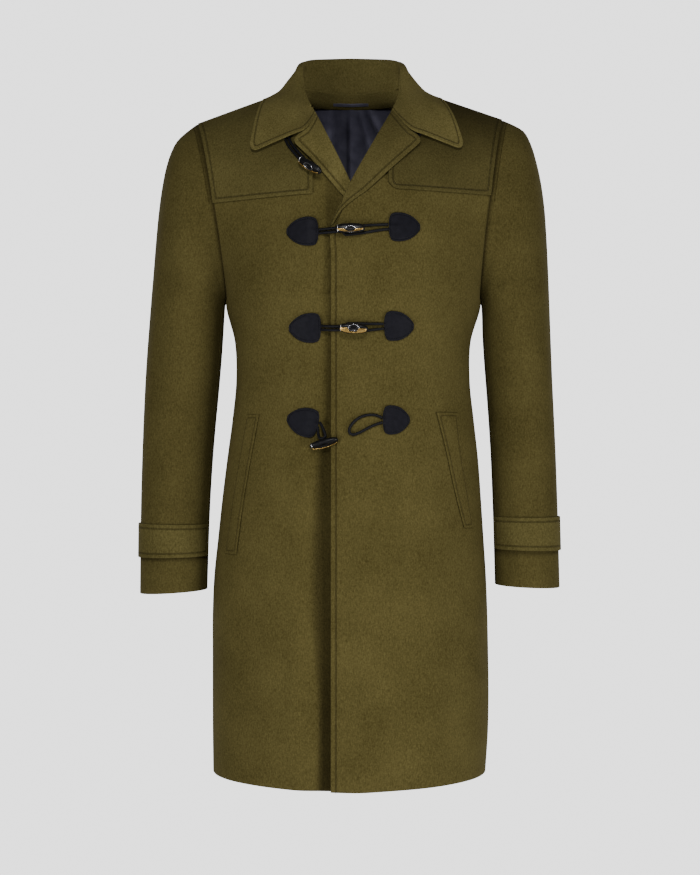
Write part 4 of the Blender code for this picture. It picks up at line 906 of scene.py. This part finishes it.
satin, tree, surface = material("lining_satin", {
    "Roughness": 0.42, "Specular IOR Level": 0.55, "Sheen Weight": 0.2, "Sheen Roughness": 0.4,
})
along_cloth = add(tree, "ShaderNodeUVMap", uv_map="cloth")
weave = add(tree, "ShaderNodeTexWave", {"Scale": 420, "Distortion": 1.2}, bands_direction="DIAGONAL")
slub = add(tree, "ShaderNodeTexNoise", {"Scale": 45, "Detail": 4})
tone = tones(tree, 0.3, (0.050, 0.048, 0.072), 0.7, (0.096, 0.092, 0.130))
bump = add(tree, "ShaderNodeBump", {"Distance": 0.0001, "Strength": 0.35})
# Painted shade: the satin's colour is multiplied darker in the fold hollows and beside the pleat, and less on
# the ridges.
hollow = add(tree, "ShaderNodeAttribute", attribute_name="crushed")
in_shadow = add(tree, "ShaderNodeMix", {"B": (0.25, 0.25, 0.27, 1)},
                data_type="RGBA", blend_type="MULTIPLY")
wire(tree,
     (along_cloth, "UV", weave, "Vector"),
     (along_cloth, "UV", slub, "Vector"),
     (slub, "Fac", tone, "Fac"),
     (hollow, "Fac", in_shadow, "Factor"),
     (tone, "Color", in_shadow, "A"),
     (in_shadow, "Result", surface, "Base Color"),
     (weave, "Fac", bump, "Height"),
     (bump, "Normal", surface, "Normal"))

FOLD_SHADE, FOLD_HEIGHT = 0.52, 0.0090        # hollows of the folds hold shadow, and ridges catch light
PLEAT_X, PLEAT_TOP = -0.001, 0.004
PLEAT_WIDTH, PLEAT_TURN = 0.018, 0.0032       # the pleat is pressed over to one side
PLEAT_DEPTH, PLEAT_FADE = 0.0042, 0.030
PLEAT_SHADE, PLEAT_SHADE_WIDTH = 0.55, 0.0035
LINING_RISE = 0.012                           # how far the lining goes up under the strip
LINING_CREASES = (
    Crease("lining", -0.030, 0.010, -0.036, -0.150, 0.0065, -0.0060),
    Crease("lining", 0.013, 0.006, 0.040, -0.080, 0.0050, -0.0060),
    Crease("lining", 0.024, 0.008, 0.060, -0.050, 0.0045, -0.0055),
    Crease("lining", 0.036, -0.030, 0.006, -0.160, 0.0060, -0.0050),
    Crease("lining", -0.046, 0.000, -0.014, -0.110, 0.0045, -0.0040),
)
grid, facing = visible_side(LINING)
top_row = grid[-1] + LINING_RISE * unit(grid[-1] - grid[-2])
flat_grid = refined(np.concatenate((grid, top_row[None])), LINING_SPACING)
grid = creased(flat_grid, facing, "lining", LINING_CREASES)
from_fold = grid[..., 0] - PLEAT_X
below = np.clip((PLEAT_TOP - grid[..., 2]) / PLEAT_FADE, 0, 1)
pleat = np.clip(np.minimum(1 - from_fold / PLEAT_WIDTH, 1 + from_fold / PLEAT_TURN), 0, 1) * below
grid = grid - face_normals(grid, facing) * (PLEAT_DEPTH * pleat)[..., None]
inwards = -((grid - flat_grid) * face_normals(flat_grid, facing)).sum(axis=2)
beside = np.exp(-((from_fold + PLEAT_TURN) / PLEAT_SHADE_WIDTH) ** 2) * below
shaded = np.clip(FOLD_SHADE - inwards / FOLD_HEIGHT + PLEAT_SHADE * beside, 0, 1)
lining = cloth_piece("satin_lining", grid, facing, LINING_THICK, satin, crushed=shaded)
dress(lining, "lining")
cut_cloth(grid)

grid, facing = visible_side(HANGER)
grid = refined(grid, HANGER_SPACING) * (HANGER_WIDER, 1, 1) + (0, -HANGER_OUT, HANGER_UP)
loop = cloth_piece("satin_hanger_loop", grid, facing, HANGER_THICK, satin)
dress(loop, "hanger_loop")


# ---------------------------------------------------------------- leather patches
# Eight bullet-shaped patches of black leather, stitched down over the ends of the cords. Each swells a
# little where the cord goes in under its straight end.
Patch = namedtuple("Patch", "node first")
PATCHES = (
    Patch("patch_1_left", (0.116, -0.080, -0.060)), Patch("patch_1_right", (-0.083, -0.079, -0.043)),
    Patch("patch_2_left", (0.056, -0.144, -0.217)), Patch("patch_2_right", (-0.048, -0.137, -0.193)),
    Patch("patch_3_left", (0.048, -0.141, -0.359)), Patch("patch_3_right", (-0.044, -0.140, -0.330)),
    Patch("patch_4_left", (0.047, -0.138, -0.492)), Patch("patch_4_right", (-0.045, -0.130, -0.469)),
)
PATCH_ROWS, PATCH_COLUMNS = 10, 5
PATCH_SPACING, PATCH_THICK = 0.0013, 0.0019
PATCH_STITCH, PATCH_PITCH = 0.0030, 0.0026
CORD_SWELL, CORD_SWELL_WIDTH = 0.0013, 0.0042
CORD_REACH = 0.020                 # how far the cord's ends run in under the patch
END_FILL, END_REACH = 0.0032, 0.010           # the cord's ends push the straight end out at its middle
END_ROUND = 1.5
END_CORNER = 0.0055

leather, tree, surface = material("black_leather", {"Roughness": 0.62, "Specular IOR Level": 0.14})
place = add(tree, "ShaderNodeTexCoord")
pores = add(tree, "ShaderNodeTexVoronoi", {"Scale": 900}, feature="DISTANCE_TO_EDGE")
creasing = add(tree, "ShaderNodeTexNoise", {"Scale": 160, "Detail": 5})
tone = tones(tree, 0.3, (0.0034, 0.0032, 0.0058), 0.72, (0.0068, 0.0064, 0.0105))
marked = add(tree, "ShaderNodeAttribute", attribute_name="from_edge")
rubbed = add(tree, "ShaderNodeMapRange",
             {"From Min": 0.0, "From Max": 0.0012, "To Min": 0.30, "To Max": 0.0})
wear_and_shade = add(tree, "ShaderNodeMath", operation="ADD")
stitched_down = add(tree, "ShaderNodeGroup", {"Line": PATCH_STITCH, "Half Width": 0.0013},
                    node_tree=channel)
grain = add(tree, "ShaderNodeBump", {"Distance": 0.00012, "Strength": 0.45})
press = add(tree, "ShaderNodeBump", {"Distance": 0.0006, "Strength": 0.9}, invert=True)
wire(tree,
     (place, "Object", pores, "Vector"),
     (place, "Object", creasing, "Vector"),
     (marked, "Fac", rubbed, "Value"),
     (creasing, "Fac", wear_and_shade, 0),
     (rubbed, "Result", wear_and_shade, 1),
     (wear_and_shade, "Value", tone, "Fac"),
     (tone, "Color", surface, "Base Color"),
     (marked, "Fac", stitched_down, "From Edge"),
     (stitched_down, "Depth", press, "Height"),
     (pores, "Distance", grain, "Height"),
     (press, "Normal", grain, "Normal"),
     (grain, "Normal", surface, "Normal"))
black_thread = twisted_thread("black_thread", (0.006, 0.006, 0.008), (0.018, 0.018, 0.022))

for patch in PATCHES:
    grid, facing = visible_side(Layout(patch.node, PATCH_ROWS, PATCH_COLUMNS, patch.first))
    grid = refined(grid, PATCH_SPACING)
    normals = face_normals(grid, facing)
    middle = grid[:, grid.shape[1] // 2]
    off_middle = np.linalg.norm(grid - middle[:, None], axis=2)
    from_end = travelled(middle)[:, None]
    under = np.clip(1 - from_end / CORD_REACH, 0, 1) * np.exp(-(off_middle / CORD_SWELL_WIDTH) ** 2)
    outwards = unit(middle[0] - middle[3])
    half_width = np.linalg.norm(grid[0, 0] - grid[0, -1]) / 2
    filled = (np.clip(1 - from_end / END_REACH, 0, 1) ** END_ROUND
              * np.clip(1 - (off_middle / half_width) ** 2, 0, 1))
    grid = grid + normals * (CORD_SWELL * under)[..., None] + outwards * (END_FILL * filled)[..., None]
    for edge in ("first_column", "last_column"):
        grid = rounded_corner(grid, "first_row", edge, END_CORNER)
    piece = cloth_piece("leather_" + patch.node, grid, facing, PATCH_THICK, leather, ALL_EDGES)
    dress(piece, patch.node)
    seams = [stitch_line(grid, facing, edge, PATCH_STITCH, (PATCH_STITCH, PATCH_STITCH))
             for edge in ("first_column", "last_column", "first_row")]
    sewn("thread_" + patch.node, seams, PATCH_PITCH, black_thread)


# ---------------------------------------------------------------- toggles
# Each toggle is a bar of polished black horn with a gold-tone plate let into its front, an oval hole that
# the cord comes through, and a bright metal band round one end. Dark metal rims the hole in rows 1 to 3.
Toggle = namedtuple("Toggle", "row plate_first plate_shown hole rimmed")
# The plate has a first corner of its grid, and a share of its height that shows, from below. The hole has its
# middle along the bar and up it.
TOGGLES = (
    Toggle(1, (-0.066, -0.137, -0.121), 0.45, (0.0, 0.0008), True),
    Toggle(2, (0.017, -0.162, -0.204), 0.60, (0.0006, -0.0018), True),
    Toggle(3, (0.022, -0.161, -0.348), 1.00, (0.0006, 0.0024), True),
    Toggle(4, (-0.021, -0.149, -0.507), 0.40, (0.0, 0.0006), False),
)
BAR_HALF_LENGTH, BAR_HALF_HEIGHT, BAR_HALF_DEPTH = 0.0210, 0.0070, 0.0045
BAR_SQUARENESS = 2.4
BAR_TAPER, BAR_ROUND, BAR_END = 3.2, 2.2, 0.07
BAR_STEPS, BAR_SIDES = 84, 72
HOLE_HALF_LENGTH, HOLE_HALF_HEIGHT = 0.0074, 0.0040
HOLE_DEPTH, HOLE_SLOPE = 0.0016, 2.5
RIM_THICK = 0.0011
RIM_WIDER, RIM_RISE = RIM_THICK / 4, RIM_THICK / 2.4
BAND_THICK, BAND_GROW = 0.0012, 0.0004
BAND_PLACE = -0.84                 # share of the half length
HOOP_STEPS, WIRE_SIDES = 48, 10
PLATE_ROWS, PLATE_COLUMNS = 3, 15
PLATE_SPACING, PLATE_THICK = 0.0006, 0.0009
HORN_SHINE = 0.20


def toggle_axes(node):
    """Centre of the toggle, and its directions along the bar, up its height and out of its front."""
    points = np.array([v.co for v in nodes[node].data.vertices])
    centre = (points.max(axis=0) + points.min(axis=0)) / 2
    ways = np.linalg.eigh(np.cov((points - centre).T))[1]
    along = ways[:, 2] * math.copysign(1, ways[0, 2])
    out = ways[:, 0] * math.copysign(1, -ways[1, 0])
    return centre, along, np.cross(out, along), out


def bar_fullness(share):
    """How full the bar is, from 0 to 1, at a share of its half length."""
    return (1 - abs(share) ** BAR_TAPER) ** (1 / BAR_ROUND) * (1 - BAR_END) + BAR_END


def bar_depth(share, high):
    """How far the bar's front stands out of its middle plane, at a place along it and a height up it."""
    full = bar_fullness(share)
    left = 1 - min(1, abs(high) / (BAR_HALF_HEIGHT * full)) ** BAR_SQUARENESS
    return BAR_HALF_DEPTH * full * left ** (1 / BAR_SQUARENESS)


def bar_point(axes, hole, share, angle, grow=0.0):
    """A point of the bar's surface, grown outwards by that much, with the hole sunk into its front."""
    centre, along, up, out = axes
    full = bar_fullness(share)
    c, s = math.cos(angle), math.sin(angle)
    high = math.copysign(abs(s) ** (2 / BAR_SQUARENESS), s) * (BAR_HALF_HEIGHT * full + grow)
    deep = math.copysign(abs(c) ** (2 / BAR_SQUARENESS), c) * (BAR_HALF_DEPTH * full + grow)
    inside = 1 - math.hypot((share * BAR_HALF_LENGTH - hole[0]) / HOLE_HALF_LENGTH,
                            (high - hole[1]) / HOLE_HALF_HEIGHT)
    if deep > 0 and inside > 0 and not grow:
        deep -= HOLE_DEPTH * min(1, inside * HOLE_SLOPE)
    return centre + along * share * BAR_HALF_LENGTH + up * high + out * deep


def bright_hoop(name, points, thick, made_of):
    """A closed hoop of round wire through the points."""
    points = np.array(points)
    ahead = unit(np.roll(points, -1, axis=0) - np.roll(points, 1, axis=0))
    outwards = points - points.mean(axis=0)
    outwards = unit(outwards - ahead * (outwards * ahead).sum(axis=1, keepdims=True))
    across = np.cross(ahead, outwards)
    rings = [points + (outwards * math.cos(turn) + across * math.sin(turn)) * thick / 2
             for turn in turns(WIRE_SIDES)]
    hoop = tube(name, np.stack(rings, axis=1), made_of, closed=True)
    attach(hoop, "root")


def polished(name, dark, light, roughness, metallic, streaks):
    """A polished finish between two colours, with fine streaks along it."""
    finish, tree, surface = material(name, {"Metallic": metallic})
    place = add(tree, "ShaderNodeTexCoord")
    drawn = add(tree, "ShaderNodeMapping", {"Scale": (0.25, 1, 1)})
    streak = add(tree, "ShaderNodeTexNoise", {"Scale": streaks, "Detail": 3})
    tone = tones(tree, 0.35, dark, 0.65, light)
    rough = add(tree, "ShaderNodeMapRange", {"To Min": roughness * 0.75, "To Max": roughness * 1.25})
    wire(tree,
         (place, "Object", drawn, "Vector"),
         (drawn, "Vector", streak, "Vector"),
         (streak, "Fac", tone, "Fac"),
         (streak, "Fac", rough, "Value"),
         (tone, "Color", surface, "Base Color"),
         (rough, "Result", surface, "Roughness"))
    return finish


horn = polished("black_horn", (0.0030, 0.0030, 0.0036), (0.0085, 0.0080, 0.0085), 0.34, 0.0, 500)
gold = polished("gold_tone_metal", (0.50, 0.31, 0.085), (0.70, 0.47, 0.16), 0.30, 1.0, 900)
silver = polished("bright_metal", (0.62, 0.62, 0.64), (0.80, 0.80, 0.82), 0.22, 1.0, 900)
steel = polished("dark_metal", (0.26, 0.26, 0.28), (0.40, 0.40, 0.43), 0.20, 1.0, 900)
horn.node_tree.nodes["Principled BSDF"].inputs["Specular IOR Level"].default_value = HORN_SHINE

for spec in TOGGLES:
    node = f"toggle_{spec.row}"
    axes = toggle_axes(node)
    shares = [-math.cos(math.pi * k / BAR_STEPS) for k in range(BAR_STEPS + 1)]
    rings = [[bar_point(axes, spec.hole, share, -angle) for angle in turns(BAR_SIDES)] for share in shares]
    dress(tube("horn_" + node, rings, horn), node)

    plate_node = f"toggle_plate_{spec.row}"
    grid, facing = visible_side(Layout(plate_node, PLATE_ROWS, PLATE_COLUMNS, spec.plate_first))
    grid = refined(grid, PLATE_SPACING)
    low_first = (grid[0].mean(axis=0) - grid[-1].mean(axis=0)) @ axes[2] < 0
    shown = round(spec.plate_shown * len(grid))
    grid = grid[:shown] if low_first else grid[len(grid) - shown:]
    dress(cloth_piece("gold_" + plate_node, grid, facing, PLATE_THICK, gold), plate_node)

    if spec.rimmed:
        centre, along, up, out = axes
        rim = []
        for turn in turns(HOOP_STEPS):
            x = spec.hole[0] + (HOLE_HALF_LENGTH + RIM_WIDER) * math.cos(turn)
            high = spec.hole[1] + (HOLE_HALF_HEIGHT + RIM_WIDER) * math.sin(turn)
            deep = bar_depth(x / BAR_HALF_LENGTH, high) + RIM_RISE
            rim.append(centre + along * x + up * high + out * deep)
        bright_hoop(f"rim_{node}", rim, RIM_THICK, steel)
    band = [bar_point(axes, spec.hole, BAND_PLACE, turn, BAND_GROW) for turn in turns(HOOP_STEPS)]
    bright_hoop(f"band_{node}", band, BAND_THICK, silver)


# ---------------------------------------------------------------- light and floor
# A pale studio: soft lamps in front and at both sides, weaker ones behind, and a pale round floor well
# below the hem.
world = bpy.data.worlds.new("studio")
world.use_nodes = True
bpy.context.scene.world = world
tree = world.node_tree
backdrop = tree.nodes["Background"]
backdrop.inputs["Color"].default_value = (1, 1, 1, 1)
backdrop.inputs["Strength"].default_value = 2.3
bounce = add(tree, "ShaderNodeBackground", {"Color": (1, 1, 1, 1), "Strength": 0.15})
seen = add(tree, "ShaderNodeLightPath")
either = add(tree, "ShaderNodeMixShader")
wire(tree,
     (seen, "Is Camera Ray", either, "Fac"),
     (bounce, "Background", either, 1),
     (backdrop, "Background", either, 2),
     (either, "Shader", tree.nodes["World Output"], "Surface"))

Lamp = namedtuple("Lamp", "name place aim size power")
LAMPS = (
    Lamp("key", (0.0, -2.35, 0.60), (0, 0, -0.50), 0.55, 29.5),
    Lamp("left_fill", (-1.55, -2.0, -1.20), (0, 0, -0.70), 1.1, 32),
    Lamp("right_fill", (1.95, -1.6, -1.20), (0, 0, -0.75), 1.0, 37),
    Lamp("back_left", (-1.9, 2.3, 0.00), (0, 0, -0.50), 1.0, 14),
    Lamp("back_right", (1.9, 2.3, 0.00), (0, 0, -0.50), 1.0, 14),
)
for spec in LAMPS:
    light = bpy.data.lights.new(spec.name, "AREA")
    light.shape = "DISK"
    light.size = spec.size
    light.energy = spec.power
    lamp = linked(spec.name, light)
    lamp.location = spec.place
    lamp.rotation_euler = (Vector(spec.aim) - Vector(spec.place)).to_track_quat("-Z", "Y").to_euler()

FLOOR_LEVEL, FLOOR_RADIUS, FLOOR_SIDES = -1.55, 1.45, 96
floor_mesh = bmesh.new()
bmesh.ops.create_circle(floor_mesh, cap_ends=True, segments=FLOOR_SIDES, radius=FLOOR_RADIUS)
for corner in floor_mesh.verts:
    corner.co.z = FLOOR_LEVEL
data = bpy.data.meshes.new("floor")
floor_mesh.to_mesh(data)
floor_mesh.free()
pale, tree, surface = material("pale_floor", {"Roughness": 0.85})
place = add(tree, "ShaderNodeTexCoord")
cloudy = add(tree, "ShaderNodeTexNoise", {"Scale": 3})
tone = tones(tree, 0, (0.78, 0.78, 0.79), 1, (0.84, 0.84, 0.85))
wire(tree,
     (place, "Object", cloudy, "Vector"),
     (cloudy, "Fac", tone, "Fac"),
     (tone, "Color", surface, "Base Color"))
data.materials.append(pale)
floor = linked("floor", data)
